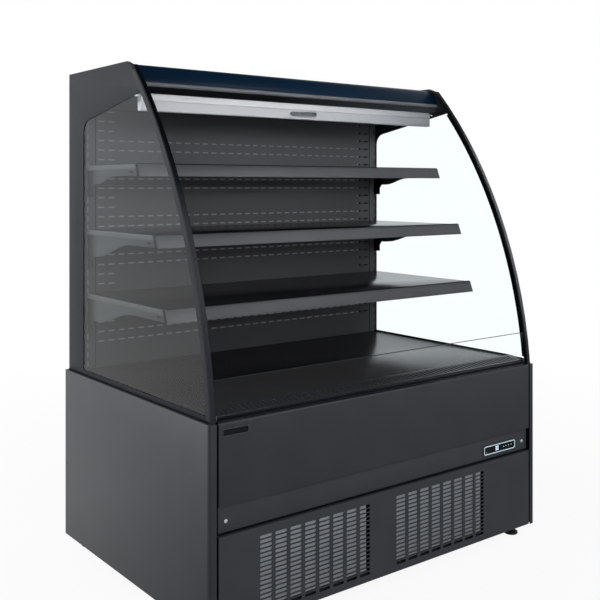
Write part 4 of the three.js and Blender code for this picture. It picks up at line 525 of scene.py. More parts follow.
THREAD_MM = 2.4
WAVE_PERIOD = 0.31  # length of one wave of a wave texture at scale 1
blind_cloth, tree, shader = finish("pvc_coated_woven_polyester", "c6c8c7", 0.7)
shader.inputs["Sheen Weight"].default_value = 0.15
place = position(tree)
warp, weft = (add(tree, "ShaderNodeTexWave", {"Vector": place, "Scale": WAVE_PERIOD / (THREAD_MM * MM)},
                  bands_direction=way) for way in "XZ")
weave = add(tree, "ShaderNodeMath", {0: warp.outputs[1], 1: weft.outputs[1]}, operation="MULTIPLY")
ramp = add(tree, "ShaderNodeValToRGB", {"Fac": weave.outputs[0]})
ramp.color_ramp.elements[0].color = linear("b9bbba")
ramp.color_ramp.elements[1].color = linear("cdcfce")
tree.links.new(ramp.outputs[0], shader.inputs["Base Color"])
bump = add(tree, "ShaderNodeBump", {"Strength": 0.3, "Distance": 0.1 * MM, "Height": weave.outputs[0]})
tree.links.new(bump.outputs[0], shader.inputs["Normal"])

opal, tree, shader = finish("smoked_opal_polycarbonate", "3c3f41", 0.4)
drift(tree, shader, "3a3d3f", "3f4244", 60)
grain(tree, shader, spacing_mm=1.0, depth_mm=0.005, strength=0.1)
print("light parts:", bar_white.name, blind_cloth.name, opal.name)

# %% [markdown]
# ## Rolled edges on the frame's pieces
# Folded steel and extrusions have no knife edges: a fold has a radius near the sheet's thickness. The
# frame's pieces keep their shape, and three modifiers finish them. Weld joins the split corners, Bevel
# rolls the sharp edges over, and a small node group smooths whatever turns by less than 35 degrees.

# %% Smoothing by angle
SMOOTH_DEGREES = 35
rolled = bpy.data.node_groups.new("smooth_by_angle", "GeometryNodeTree")
rolled.interface.new_socket("Geometry", in_out="INPUT", socket_type="NodeSocketGeometry")
rolled.interface.new_socket("Geometry", in_out="OUTPUT", socket_type="NodeSocketGeometry")
source = add(rolled, "NodeGroupInput")
plain = add(rolled, "GeometryNodeRemoveAttribute", {"Geometry": source.outputs[0], "Name": "custom_normal"})
soft = add(rolled, "GeometryNodeSetShadeSmooth", {"Geometry": plain.outputs[0], "Shade Smooth": True},
           domain="FACE")
turn = add(rolled, "GeometryNodeInputMeshEdgeAngle")
gentle = add(rolled, "FunctionNodeCompare", {"A": turn.outputs["Unsigned Angle"],
                                             "B": math.radians(SMOOTH_DEGREES)}, operation="LESS_THAN")
sharp = add(rolled, "GeometryNodeSetShadeSmooth", {"Geometry": soft.outputs[0],
                                                   "Shade Smooth": gentle.outputs[0]}, domain="EDGE")
add(rolled, "NodeGroupOutput", {0: sharp.outputs[0]})
print("smooth below", SMOOTH_DEGREES, "degrees")

# %% Rolled edges
WELD_GAP = 0.01 * MM  # corners nearer than this become one


def dress(names, material, edge_mm):
    for name in names:
        node = frame["nodes"][name]
        for slot in node.material_slots:
            slot.material = material
        weld = node.modifiers.new("weld", "WELD")
        weld.merge_threshold = WELD_GAP
        if edge_mm:
            bevel = node.modifiers.new("rolled_edge", "BEVEL")
            bevel.width = edge_mm * MM
            bevel.segments = 2
            bevel.limit_method = "ANGLE"
            bevel.angle_limit = math.radians(SMOOTH_DEGREES)
        node.modifiers.new("smooth", "NODES").node_group = rolled
    print(material.name, "on", len(names), "pieces")


print("ready to dress", len(frame["nodes"]), "pieces")

# %% Dress the frame
SIDES = ("left", "right")
LEVELS = ("top", "middle", "bottom")


def pair(stem):
    return [f"{stem}_{side}" for side in SIDES]


dress(pair("base_side") + ["fascia", "roof_panel"], powder_coat, 0.6)
dress(["control_strip"], front_coat, 0.6)
dress(pair("side_frame"), frame_coat, 0.6)
dress(pair("upright") + ["ceiling_panel", "blind_cassette"], wall_coat, 0.3)
dress([f"price_rail_{level}" for level in LEVELS], rail_coat, 0.35)
dress([f"bracket_{level}_{side}" for level in LEVELS for side in SIDES], bracket_coat, 0.5)
dress([f"shelf_{level}" for level in LEVELS], shelf_coat, 0.35)
dress(["deck"], deck_coat, 0.4)
dress(["return_air_grille"], return_coat, 0.4)
dress(["canopy_front"], navy, 0.5)
dress(["canopy_bead"], bead_grey, 0.6)
dress(["edge_trim_left"], left_channel, 0.8)
dress(["edge_trim_right"], right_channel, 0.8)
dress(["controller", "condenser_fan", "evaporator_fan_left", "evaporator_fan_right"]
      + [f"controller_key_{i}" for i in (1, 2, 3, 4)], black_abs, 0.3)
dress([f"foot_{end}_{side}" for end in ("front", "rear") for side in SIDES], foot_nylon, 0.6)
dress(["blind_bar"], bar_white, 0.6)
dress(["blind_handle"], handle_metal, 0.5)
dress(["blind_roller"], blind_cloth, 0.3)
# The base pan and the tub are drawn dark, as painted shade, so the gap beside the fascia and the slots that
# look into them stay dark.
dress(["base_pan"], frame_coat, 0.5)
dress(["tub"], matt_black, 0.5)
dress(["back_panel", "rear_vent_cover", "evaporator_fan_plate"], galvanised, 0.5)
dress(["dust_filter"], filter_knit, 0.3)
dress(["condenser", "evaporator"], fin_aluminium, 0)
dress(["compressor"], compressor_enamel, 1.0)
dress(["lamp_strip"], opal, 0.4)
dress(pair("side_glass"), side_pane, 0)
dress(["front_glass"], front_pane, 0)


# %% [markdown]
# ## New pieces
# Every new piece is made in place, in the frame's own coordinates, and then given its finish, the body
# that carries it, and the piece of the frame it stands for, if any.

# %% Adopting a piece
def adopt(piece, material, body, slot, *stands_for):
    piece.data.materials.clear()
    piece.data.materials.append(material)
    if piece.name not in bpy.context.collection.objects:
        bpy.context.collection.objects.link(piece)
    if body:
        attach(piece, body)
    if stands_for:
        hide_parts(*stands_for)
    return piece


def from_shape(name, shape):
    """An object from a finished bmesh."""
    bmesh.ops.recalc_face_normals(shape, faces=shape.faces)
    mesh = bpy.data.meshes.new(name)
    shape.to_mesh(mesh)
    shape.free()
    return bpy.data.objects.new(name, mesh)


# %% Blocks and prisms
def add_block(shape, low, high):
    """A box between two corners, added to a bmesh."""
    (x0, y0, z0), (x1, y1, z1) = low, high
    corners = [shape.verts.new((x, y, z)) for z in (z0, z1)
               for x, y in ((x0, y0), (x1, y0), (x1, y1), (x0, y1))]
    for face in ((0, 3, 2, 1), (4, 5, 6, 7), (0, 1, 5, 4), (1, 2, 6, 5), (2, 3, 7, 6), (3, 0, 4, 7)):
        shape.faces.new([corners[i] for i in face])


def one_block(name, low, high):
    """An object that is a single box."""
    shape = bmesh.new()
    add_block(shape, low, high)
    return from_shape(name, shape)


def add_prism(shape, outline, offset):
    """A flat outline of 3-D points, thickened by an offset."""
    front = [shape.verts.new(Vector(p)) for p in outline]
    back = [shape.verts.new(Vector(p) + Vector(offset)) for p in outline]
    shape.faces.new(front)
    shape.faces.new(back[::-1])
    for i in range(len(front)):
        j = (i + 1) % len(front)
        shape.faces.new((front[i], back[i], back[j], front[j]))


print("blocks and prisms are ready")


# %% Sheets with holes
def round_slot(x, z, length, height, steps=5):
    """Outline of a slot with half-round ends, as (x, z) pairs round its middle."""
    radius = height / 2
    points = []
    for centre, start in ((x + length / 2 - radius, -90), (x - length / 2 + radius, 90)):
        for i in range(steps + 1):
            angle = math.radians(start + 180 * i / steps)
            points.append((centre + radius * math.cos(angle), z + radius * math.sin(angle)))
    return points


def rectangle(left, foot, right, top):
    return [(left, foot), (right, foot), (right, top), (left, top)]


def punched_sheet(name, outline, holes, face_y, thickness):
    """A sheet in the XZ plane, front face at face_y. A 2-D curve fills the outline and leaves the holes."""
    curve = bpy.data.curves.new(name, "CURVE")
    curve.dimensions = "2D"
    curve.fill_mode = "BOTH"
    curve.extrude = thickness / 2
    for points in [outline] + holes:
        spline = curve.splines.new("POLY")
        spline.points.add(len(points) - 1)
        spline.use_cyclic_u = True
        for point, (x, z) in zip(spline.points, points):
            point.co = (x, z, 0, 1)
    carrier = bpy.data.objects.new(name, curve)
    bpy.context.collection.objects.link(carrier)
    bpy.context.view_layer.update()
    mesh = bpy.data.meshes.new_from_object(carrier.evaluated_get(bpy.context.evaluated_depsgraph_get()))
    bpy.data.objects.remove(carrier)
    shape = bmesh.new()
    shape.from_mesh(mesh)
    bmesh.ops.remove_doubles(shape, verts=shape.verts, dist=WELD_GAP)
    for vert in shape.verts:
        x, z, depth = vert.co
        vert.co = (x, face_y + thickness / 2 - depth, z)
    return shape


print("a slot's outline has", len(round_slot(0, 0, 2, 1)), "points")

# %% [markdown]
# ## The ventilation grille
# A turret punch makes these slots: 34 mm long, 7.5 mm high, with half-round ends. The frame has them
# square-ended, so this sheet stands for the whole panel. A 2-D curve is the simplest way to a plate
# full of holes: the outline and each slot are closed splines, and the curve fills what lies between.

# %% Grille panel
SHEET = 1.5 * MM
SLOT = (34 * MM, 7.5 * MM)
PITCH = (42.7 * MM, 10.4 * MM)
COLUMNS, ROWS = 8, 17
MARGIN = (109.6 * MM, 17 * MM)  # plain sheet left of the first slot and below it
BETWEEN_FIELDS = 89 * MM
LOWER_FLANGE = 9.7 * MM
low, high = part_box("grille_panel")
field_width = (COLUMNS - 1) * PITCH[0] + SLOT[0]
field_left = (low.x + MARGIN[0], low.x + MARGIN[0] + field_width + BETWEEN_FIELDS)
holes = [round_slot(left + c * PITCH[0] + SLOT[0] / 2, low.z + MARGIN[1] + r * PITCH[1] + SLOT[1] / 2, *SLOT)
         for left in field_left for c in range(COLUMNS) for r in range(ROWS)]
shape = punched_sheet("grille", rectangle(low.x, low.z, high.x, high.z), holes, low.y, SHEET)
add_block(shape, (low.x, low.y + SHEET, high.z - SHEET), (high.x, high.y, high.z))
add_block(shape, (low.x, low.y + SHEET, low.z), (high.x, low.y + LOWER_FLANGE, low.z + SHEET))
grille = adopt(from_shape("grille_panel_punched", shape), front_coat, "cabinet", "dark_powder_coat",
               "grille_panel")
print("grille:", len(holes), "slots,", len(grille.data.polygons), "faces")

# %% [markdown]
# ## The perforated rear wall
# Cold air comes through slots in the rear wall: 20 by 4 mm, in paired rows at full width, with two
# columns at each end in every row. A galvanised baffle behind the wall shows in them as light dashes,
# and it stops short of the last two columns on the right, which stay dark.

# %% Rear wall
WALL_PITCH = (30.75 * MM, 26.52 * MM)
WALL_COLUMNS, WALL_ROWS = 33, 25
TOP_ROW = 1216.6 * MM
WALL_SLOT = (20 * MM, 4 * MM)
WALL_SHEET = 0.8 * MM
END_COLUMNS = (0, 1, WALL_COLUMNS - 2, WALL_COLUMNS - 1)
TOP_ROW_COLUMNS = END_COLUMNS[1:3]  # the top row has one slot at each end
holes = []
for row in range(WALL_ROWS):
    full_width = row % 4 == 3 or (row % 4 == 0 and row > 0)
    for column in range(WALL_COLUMNS):
        if full_width or column in (END_COLUMNS if row else TOP_ROW_COLUMNS):
            x = (column - (WALL_COLUMNS - 1) / 2) * WALL_PITCH[0]
            holes.append(round_slot(x, TOP_ROW - row * WALL_PITCH[1], *WALL_SLOT, steps=3))
low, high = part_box("rear_wall")
shape = punched_sheet("wall", rectangle(low.x, low.z, high.x, high.z), holes, low.y, WALL_SHEET)
adopt(from_shape("rear_wall_punched", shape), wall_coat, "cabinet", "dark_powder_coat", "rear_wall")
print("rear wall:", len(holes), "slots")

# %% Baffle
BAFFLE_RIGHT = 455 * MM
BAFFLE_INSET = (2 * MM, 1.6 * MM)  # from the wall's left edge and from its front
# The baffle's light dashes come from its painted glow.
adopt(one_block("rear_wall_baffle", (low.x + BAFFLE_INSET[0], low.y + BAFFLE_INSET[1], low.z),
                (BAFFLE_RIGHT, high.y, high.z)), baffle_steel, "cabinet", "galvanised_sheet")
print("baffle", round((BAFFLE_RIGHT - low.x) * 1000), "mm wide")

# %% [markdown]
# ## The night blind
# The blind is a sheet of coated fabric, wound on the roller behind the canopy. Only its last 28 mm
# hang free at rest. All of its rows but two lie in its lowest 2 mm.

# %% Blind fabric
low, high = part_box("blind_fabric")
STRETCH = 2 * MM
HANGING_ROW = 10 * MM  # the one row between the stretch and the roller, above the stretch
STRETCH_ROWS = 40
ACROSS = 24
stretch_top = low.z + STRETCH
heights = [high.z, stretch_top + HANGING_ROW, stretch_top]
heights += [stretch_top + (low.z - stretch_top) * (i + 1) / STRETCH_ROWS for i in range(STRETCH_ROWS)]
middle_y = (low.y + high.y) / 2
shape = bmesh.new()
rows = [[shape.verts.new((low.x + (high.x - low.x) * i / ACROSS, middle_y, z)) for i in range(ACROSS + 1)]
        for z in heights]
for upper, lower in zip(rows, rows[1:]):
    for i in range(ACROSS):
        shape.faces.new((upper[i], lower[i], lower[i + 1], upper[i + 1]))
cloth = adopt(from_shape("blind_fabric_sheet", shape), blind_cloth, None, "blind_fabric", "blind_fabric")
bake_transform(cloth)
print("blind fabric:", round(high.x - low.x, 3), "by", round(high.z - low.z, 4), "m")

# %% [markdown]
# ## The controller's face
# The controller is a moulded module with a pale frame round a black window. A temperature shows in
# white segments, and each push key carries a small printed mark. The marks ride on the keys.

# %% Controller frame
BEZEL = 2.5 * MM                           # width of the pale border
BEZEL_CORNER, WINDOW_CORNER = 6 * MM, 3.8 * MM
BEZEL_SHEET, BEZEL_GAP = 0.8 * MM, 0.1 * MM  # its thickness, and how far it stands off the module
low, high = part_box("controller")
face_y = low.y
centre = ((low.x + high.x) / 2, (low.z + high.z) / 2)
half = ((high.x - low.x) / 2, (high.z - low.z) / 2)
frame_white, tree, shader = finish("moulded_pale_blue_abs", "d2edf6", 0.35)
drift(tree, shader, "cdeaf4", "d8f1f9", 20)
grain(tree, shader, spacing_mm=0.6, depth_mm=0.01, strength=0.15, edge_mm=0.3)


def rounded_outline(half_x, half_z, radius, steps=5):
    """A rectangle with round corners about the controller's middle, as (x, z) pairs."""
    points = []
    for sx, sz, start in ((1, -1, -90), (1, 1, 0), (-1, 1, 90), (-1, -1, 180)):
        for i in range(steps + 1):
            angle = math.radians(start + 90 * i / steps)
            points.append((centre[0] + sx * (half_x - radius) + radius * math.cos(angle),
                           centre[1] + sz * (half_z - radius) + radius * math.sin(angle)))
    return points


shape = punched_sheet("frame", rounded_outline(half[0], half[1], BEZEL_CORNER),
                      [rounded_outline(half[0] - BEZEL, half[1] - BEZEL, WINDOW_CORNER)],
                      face_y - BEZEL_SHEET - BEZEL_GAP, BEZEL_SHEET)
adopt(from_shape("controller_frame", shape), frame_white, "cabinet", "black_plastic")
print("controller frame", [round(v * 2, 3) for v in half], "m")

# %% Lit segments
LIT_RISE = 0.15 * MM
lit, tree, shader = finish("lit_display_segment", "dff2ff", 0.4)
shader.inputs["Emission Color"].default_value = linear("dff2ff")
shader.inputs["Emission Strength"].default_value = 0.9
glowing = add(tree, "ShaderNodeTexNoise", {"Vector": position(tree), "Scale": 1 / (2 * MM)})
ramp = add(tree, "ShaderNodeValToRGB", {"Fac": glowing.outputs[0]})
ramp.color_ramp.elements[0].color = linear("d4ebfa")
ramp.color_ramp.elements[1].color = linear("e8f6ff")
tree.links.new(ramp.outputs[0], shader.inputs["Base Color"])
window_y = face_y + 1.0 * MM  # the window lies 1 mm back in the module's face


def add_lit(shape, x_span, z_span):
    """A lit patch on the window."""
    add_block(shape, (x_span[0], window_y - LIT_RISE, z_span[0]), (x_span[1], window_y, z_span[1]))


print("lit segments:", lit.name)

# %% Digits
SEGMENTS = {"3": "abcdg", "0": "abcdef"}
DIGIT = (5.5 * MM, 10.5 * MM)
STROKE = 1.1 * MM
DIGIT_PLACES = {"3": -17 * MM, "0": -9.5 * MM}  # left edges, from the controller's middle
POINT = (-11.3 * MM, -10.2 * MM)                # the decimal point, from left to right


def add_digit(shape, value, x, z):
    w, h = DIGIT
    spans = {"a": ((0, w), (h - STROKE, h)), "g": ((0, w), ((h - STROKE) / 2, (h + STROKE) / 2)),
             "d": ((0, w), (0, STROKE)), "f": ((0, STROKE), (h / 2, h)), "b": ((w - STROKE, w), (h / 2, h)),
             "e": ((0, STROKE), (0, h / 2)), "c": ((w - STROKE, w), (0, h / 2))}
    for segment in SEGMENTS[value]:
        (x0, x1), (z0, z1) = spans[segment]
        add_lit(shape, (x + x0, x + x1), (z + z0, z + z1))


shape = bmesh.new()
digit_foot = centre[1] - DIGIT[1] / 2
for value, left in DIGIT_PLACES.items():
    add_digit(shape, value, centre[0] + left, digit_foot)
add_lit(shape, [centre[0] + x for x in POINT], (digit_foot, digit_foot + STROKE))
adopt(from_shape("display_digits", shape), lit, "cabinet", "lamp_diffuser")
print("display reads 3.0")

# %% Indicator and key marks
INDICATOR = ((-56 * MM, -52 * MM), (-6 * MM, -4.5 * MM))  # x and z, from the controller's middle
MARK_HALF, MARK_FOOT, MARK_TIP, MARK_RISE = 1.3 * MM, 1.0 * MM, 1.2 * MM, 0.12 * MM
amber, tree, shader = finish("amber_indicator_lens", "d8b24a", 0.4)
drift(tree, shader, "d2ab42", "dfba54", 1)
shape = bmesh.new()
add_lit(shape, [centre[0] + x for x in INDICATOR[0]], [centre[1] + z for z in INDICATOR[1]])
adopt(from_shape("display_indicator", shape), amber, "cabinet", "lamp_diffuser")
for index in (1, 2, 3, 4):  # a triangle on each key, pointing up or down in turn
    low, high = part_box(f"controller_key_{index}")
    x, z = (low.x + high.x) / 2, (low.z + high.z) / 2
    up = 1 if index % 2 else -1
    triangle = [(x - MARK_HALF, low.y, z - up * MARK_FOOT), (x + MARK_HALF, low.y, z - up * MARK_FOOT),
                (x, low.y, z + up * MARK_TIP)]
    shape = bmesh.new()
    add_prism(shape, triangle, (0, -MARK_RISE, 0))
    # The printed marks take the segments' glowing finish: a painted glow.
    adopt(from_shape(f"key_mark_{index}", shape), lit, f"key_{index}", "lamp_diffuser")
print("an indicator and four key marks")

# %% [markdown]
# ## Screws, clips and a bare plate
# Small parts sit on the sheets that carry them. Each screw is a turned dome with a cross recess, drawn
# as a thin cross of painted shade on its crown. A plain black plate with a fine metal rim fills the place for
# a label at the fascia's upper left.


# %% A screw's head and recess
def add_screw(shape, x, z, face_y, radius, rise, direction=-1):
    """A domed head on a face that looks along -Y, or +Y when direction is 1."""
    dome = [(1.0, 0.0), (0.98, 0.35), (0.8, 0.75), (0.45, 0.97)]  # shares of the radius and the rise
    sides = 20
    loops = []
    for share, height in dome:
        loops.append([shape.verts.new((x + radius * share * math.cos(2 * math.pi * i / sides),
                                       face_y + direction * rise * height,
                                       z + radius * share * math.sin(2 * math.pi * i / sides)))
                      for i in range(sides)])
    for inner, outer in zip(loops[1:], loops):
        for i in range(sides):
            shape.faces.new((outer[i], outer[(i + 1) % sides], inner[(i + 1) % sides], inner[i]))
    shape.faces.new(loops[0][::-1])
    shape.faces.new(loops[-1])


crosses = bmesh.new()


def add_cross(x, z, crown_y):
    """The recess of one screw as painted shade: two crossed dark bars, flush with the crown."""
    long, thin, deep = 1.7 * MM, 0.35 * MM, 0.08 * MM
    add_block(crosses, (x - long, crown_y - deep, z - thin), (x + long, crown_y + deep, z + thin))
    add_block(crosses, (x - thin, crown_y - deep, z - long), (x + thin, crown_y + deep, z + long))


print("screw helpers are ready")

# %% Screws
HEAD = (4.2 * MM, 1.8 * MM)  # radius and rise of a screw's head
STRIP_SCREW = (507 * MM, 276 * MM)
COVER_INSET = 12 * MM        # from the vent cover's edges to its screws
strip_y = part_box("control_strip")[0].y
shape = bmesh.new()
for side in (-1, 1):
    add_screw(shape, side * STRIP_SCREW[0], STRIP_SCREW[1], strip_y, *HEAD)
    add_cross(side * STRIP_SCREW[0], STRIP_SCREW[1], strip_y - HEAD[1])
adopt(from_shape("strip_screws", shape), zinc, "cabinet", "galvanised_sheet")

shape = bmesh.new()
low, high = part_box("rear_vent_cover")
for x in (low.x + COVER_INSET, 0, high.x - COVER_INSET):
    for z in (low.z + COVER_INSET, high.z - COVER_INSET):
        add_screw(shape, x, z, high.y, *HEAD, direction=1)
        add_cross(x, z, high.y + HEAD[1])
adopt(from_shape("vent_cover_screws", shape), zinc, "cabinet", "galvanised_sheet")
print(len(crosses.faces) // 12, "screws")

# %% Label plate
PLATE = (-520 * MM, 465 * MM, -452 * MM, 480 * MM)  # left, foot, right and top
PLATE_RISE = 0.9 * MM
RIM_HALF, RIM_RISE, RIM_SHEET = 0.6 * MM, 1.3 * MM, 0.35 * MM  # the rim straddles the plate's edge
plate_black, tree, shader = finish("bare_black_acrylic_plate", "0d0e10", 0.15)
drift(tree, shader, "0c0d0f", "111214", 15)
grain(tree, shader, spacing_mm=1.0, depth_mm=0.002, strength=0.1, edge_mm=0.4)


def round_edges(piece, radius_mm):
    bevel = piece.modifiers.new("rounded", "BEVEL")
    bevel.width = radius_mm * MM
    bevel.segments = 3


def plate_outline(grown):
    left, foot, right, top = PLATE
    return rectangle(left - grown, foot - grown, right + grown, top + grown)


fascia_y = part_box("fascia")[0].y
plate = one_block("label_plate", (PLATE[0], fascia_y - PLATE_RISE, PLATE[1]), (PLATE[2], fascia_y, PLATE[3]))
adopt(plate, plate_black, "cabinet", "black_plastic")
round_edges(plate, 0.4)
rim = punched_sheet("rim", plate_outline(RIM_HALF), [plate_outline(-RIM_HALF)],
                    fascia_y - RIM_RISE, RIM_SHEET)
adopt(from_shape("label_plate_rim", rim), handle_metal, "cabinet", "black_plastic")
print("plate", round((PLATE[2] - PLATE[0]) * 1000), "by", round((PLATE[3] - PLATE[1]) * 1000), "mm")

# %% Clips of the front glass
CLIP_X, CLIP_HALF = 527 * MM, 2.5 * MM
CLIP_Y, CLIP_Z = (-365 * MM, -361.4 * MM), (497 * MM, 507 * MM)
shape = bmesh.new()
for side in (-1, 1):
    x = side * CLIP_X
    add_block(shape, (x - CLIP_HALF, CLIP_Y[0], CLIP_Z[0]), (x + CLIP_HALF, CLIP_Y[1], CLIP_Z[1]))
clips = adopt(from_shape("front_glass_clips", shape), handle_metal, "cabinet", "galvanised_sheet")
round_edges(clips, 1.0)
print("2 clips")

# %% Slots in the brackets
BRACKET_SLOT = (19 * MM, 3.4 * MM)
SLOT_SHEET = 0.15 * MM  # a slot is drawn as a thin patch of painted shade on the bracket
SLOT_PLACES = {"top": (24, 1046), "middle": (-70, 871), "bottom": (-118, 696)}  # y and z, in mm
# The slots are real. Their darkness is painted shade.
hollow_shade, tree, shader = finish("painted_shade_in_hollows", "060607", 0.8)
drift(tree, shader, "050506", "090909", 5)
shader.inputs["Specular IOR Level"].default_value = 0.0
shape = bmesh.new()
for level, (y, z) in SLOT_PLACES.items():
    for side, name in zip((-1, 1), SIDES):
        low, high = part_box(f"bracket_{level}_{name}")
        outer_x = low.x if side < 0 else high.x
        outline = [(outer_x, y * MM + slot_y, slot_z)
                   for slot_y, slot_z in round_slot(0, z * MM, *BRACKET_SLOT)]
        add_prism(shape, outline, (side * SLOT_SHEET, 0, 0))
adopt(from_shape("bracket_slots", shape), hollow_shade, "cabinet", "shelf_coat")
adopt(from_shape("screw_recesses", crosses), hollow_shade, "cabinet", "galvanised_sheet")
print(len(SLOT_PLACES) * 2, "bracket slots")

# %% [markdown]
# ## Seals and the ground edge of the glass
# Each side glass stands in a black rubber seal, which draws a dark line along the end of the deck. In
# front of the deck it fills the gap beside the return-air grille. A thin black strip runs outside, in
# the corner between base and upper frame, and one more fills the gap over the ventilation grille: both
# are painted shade, where these gaps lie in shadow. The low front glass is ground along its top, and a ground
# edge looks dark from the side.

# %% Glass seals
rubber, tree, shader = finish("extruded_black_rubber_and_painted_shade", "0b0c0d", 0.7)
drift(tree, shader, "0a0b0c", "0e0f10", 20)
grain(tree, shader, spacing_mm=0.8, depth_mm=0.01, strength=0.2)
shader.inputs["Specular IOR Level"].default_value = 0.06
SEAL_TOP, SEAL_CHAMFER = 512 * MM, 2 * MM
SEAL_NEAR, SEAL_FAR = 0.5 * MM, 5.2 * MM  # from the glass's inner face to the seal's two sides
SEAL_CREST = 3.6 * MM                     # and to the top of its chamfer
SEAL_GAP = 0.3 * MM                       # between the seal and the deck under it
BESIDE_WIDTH = 4.6 * MM                   # of the part beside the return-air grille
FRONT_Y, FRONT_FOOT = -350 * MM, 497 * MM
deck_low, deck_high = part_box("deck")
return_low, return_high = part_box("return_air_grille")
GRILLE_SLOPE = 0.1                  # the return grille falls 1 mm in 10 from its crest to the front
crest_y = return_high.y - 5.5 * MM  # where that slope begins
beside_top = SEAL_TOP - 0.5 * MM
for side, name in zip((-1, 1), SIDES):
    glass_low, glass_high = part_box(f"side_glass_{name}")
    inner_x = glass_high.x if side < 0 else glass_low.x
    rear_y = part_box(f"upright_{name}")[0].y - 0.5 * MM
    seal_front = deck_low.y + 1 * MM
    seal_foot = deck_high.z + SEAL_GAP
    shape = bmesh.new()
    on_deck = [(inner_x - side * dx, seal_front, z)
               for dx, z in ((SEAL_NEAR, seal_foot), (SEAL_FAR, seal_foot),
                             (SEAL_FAR, SEAL_TOP - SEAL_CHAMFER), (SEAL_CREST, SEAL_TOP),
                             (SEAL_NEAR, SEAL_TOP))]
    add_prism(shape, on_deck, (0, rear_y - seal_front, 0))
    front_top = beside_top - (crest_y - FRONT_Y) * GRILLE_SLOPE
    beside_grille = [(inner_x - side * SEAL_NEAR, y, z)
                     for y, z in ((FRONT_Y, FRONT_FOOT), (deck_low.y, FRONT_FOOT), (deck_low.y, beside_top),
                                  (crest_y, beside_top), (FRONT_Y, front_top))]
    add_prism(shape, beside_grille, (-side * BESIDE_WIDTH, 0, 0))
    adopt(from_shape(f"glass_seal_{name}", shape), rubber, "cabinet", "black_edge_channel")
print("seals", round((rear_y - deck_low.y) * 1000), "mm long on the deck")

# %% Strips in the corner between base and upper frame
CORNER_PROFILE = ((0.3, 0.3), (4.0, 0.3), (3.4, 1.2), (0.9, 2.4), (0.3, 2.4))  # mm outwards and up
CORNER_INSET = 2 * MM
# Each strip is painted shade: a black line where the corner between base and frame lies in shadow.
for side, name in zip((-1, 1), SIDES):
    base_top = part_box(f"base_side_{name}")[1].z
    low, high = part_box(f"side_frame_{name}")
    face_x = low.x if side < 0 else high.x
    outline = [(face_x + side * out * MM, low.y + CORNER_INSET, base_top + up * MM)
               for out, up in CORNER_PROFILE]
    shape = bmesh.new()
    add_prism(shape, outline, (0, high.y - low.y - 2 * CORNER_INSET, 0))
    adopt(from_shape(f"corner_shade_strip_{name}", shape), rubber, "cabinet", "black_edge_channel")
print("corner strips", round((high.y - low.y - 2 * CORNER_INSET) * 1000), "mm long")

# %% Painted shade over the ventilation grille
GAP_SHADE_Y = (1 * MM, 6 * MM)  # from the control strip's face to the shade strip's front and rear
GAP_SHADE_CLEARANCE = 0.3 * MM
low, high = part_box("control_strip")
grille_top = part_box("grille_panel")[1].z
# A black block of painted shade fills the gap between the control strip and the grille.
adopt(one_block("grille_gap_shade", (low.x, low.y + GAP_SHADE_Y[0], grille_top + GAP_SHADE_CLEARANCE),
                (high.x, low.y + GAP_SHADE_Y[1], low.z - GAP_SHADE_CLEARANCE)), rubber, "cabinet", "black_edge_channel")
print("gasket", round((high.x - low.x) * 1000), "mm long")

# %% Ground edge of the front glass
ground_edge, tree, shader = finish("ground_glass_edge", "1b2220", 0.45)
drift(tree, shader, "181f1d", "1f2725", 10)
grain(tree, shader, spacing_mm=0.6, depth_mm=0.01, strength=0.2)
# The profile's corners, in millimetres back from the glass's face and up from its top.
GROUND_PROFILE = ((0.2, 0.05), (0.2, 0.8), (1.2, 1.3), (3.8, 1.3), (4.8, 0.8), (4.8, 0.05))
GROUND_INSET = 0.5 * MM
low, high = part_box("front_glass")
outline = [(low.x + GROUND_INSET, low.y + back * MM, high.z + up * MM) for back, up in GROUND_PROFILE]
shape = bmesh.new()
add_prism(shape, outline, (high.x - low.x - 2 * GROUND_INSET, 0, 0))
adopt(from_shape("front_glass_edge", shape), ground_edge, "cabinet", "clear_glass")
print("ground edge", round((high.x - low.x - 2 * GROUND_INSET) * 1000), "mm long")

# %% [markdown]
# ## End caps on the price rails
# Each price rail ends in a thin moulded cap with teeth along its rear edge, which grip the shelf. A thin
# black lip along the top of each rail covers the joint between rail and shelf.

# %% Rail end caps
TEETH = 5
RAIL_LEAN = 12 * MM  # the rail's head lies this far behind its foot
CAP_SHEET = 1.2 * MM
TOOTH_ROOT, TOOTH_TIP = 7 * MM, 14 * MM  # how far the cap reaches behind the rail's face
for level in LEVELS:
    low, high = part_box(f"price_rail_{level}")
    for side, name in zip((-1, 1), SIDES):
        x = low.x if side < 0 else high.x
        outline = [(x, low.y, low.z), (x, low.y + RAIL_LEAN, high.z)]
        for i in range(TEETH * 2 + 1):
            share = i / (TEETH * 2)
            reach = TOOTH_TIP if i % 2 else TOOTH_ROOT
            outline.append((x, low.y + RAIL_LEAN * (1 - share) + reach,
                            high.z + (low.z - high.z) * share))
        shape = bmesh.new()
        add_prism(shape, outline, (side * CAP_SHEET, 0, 0))
        adopt(from_shape(f"rail_cap_{level}_{name}", shape), matt_black, "cabinet", "black_plastic")
print(len(LEVELS) * 2, "rail caps with", TEETH, "teeth each")

# %% Lips over the rails
LIP_INSET = 0.5 * MM
LIP_Y, LIP_Z = (7 * MM, 3.5 * MM), (0.2 * MM, 1.9 * MM)  # in front of the rail's rear, above its head
shape = bmesh.new()
for level in LEVELS:
    low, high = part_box(f"price_rail_{level}")
    add_block(shape, (low.x + LIP_INSET, high.y - LIP_Y[0], high.z + LIP_Z[0]),
              (high.x - LIP_INSET, high.y - LIP_Y[1], high.z + LIP_Z[1]))
lips = adopt(from_shape("rail_lips", shape), matt_black, "cabinet", "black_plastic")
round_edges(lips, 0.5)
print(len(LEVELS), "lips")
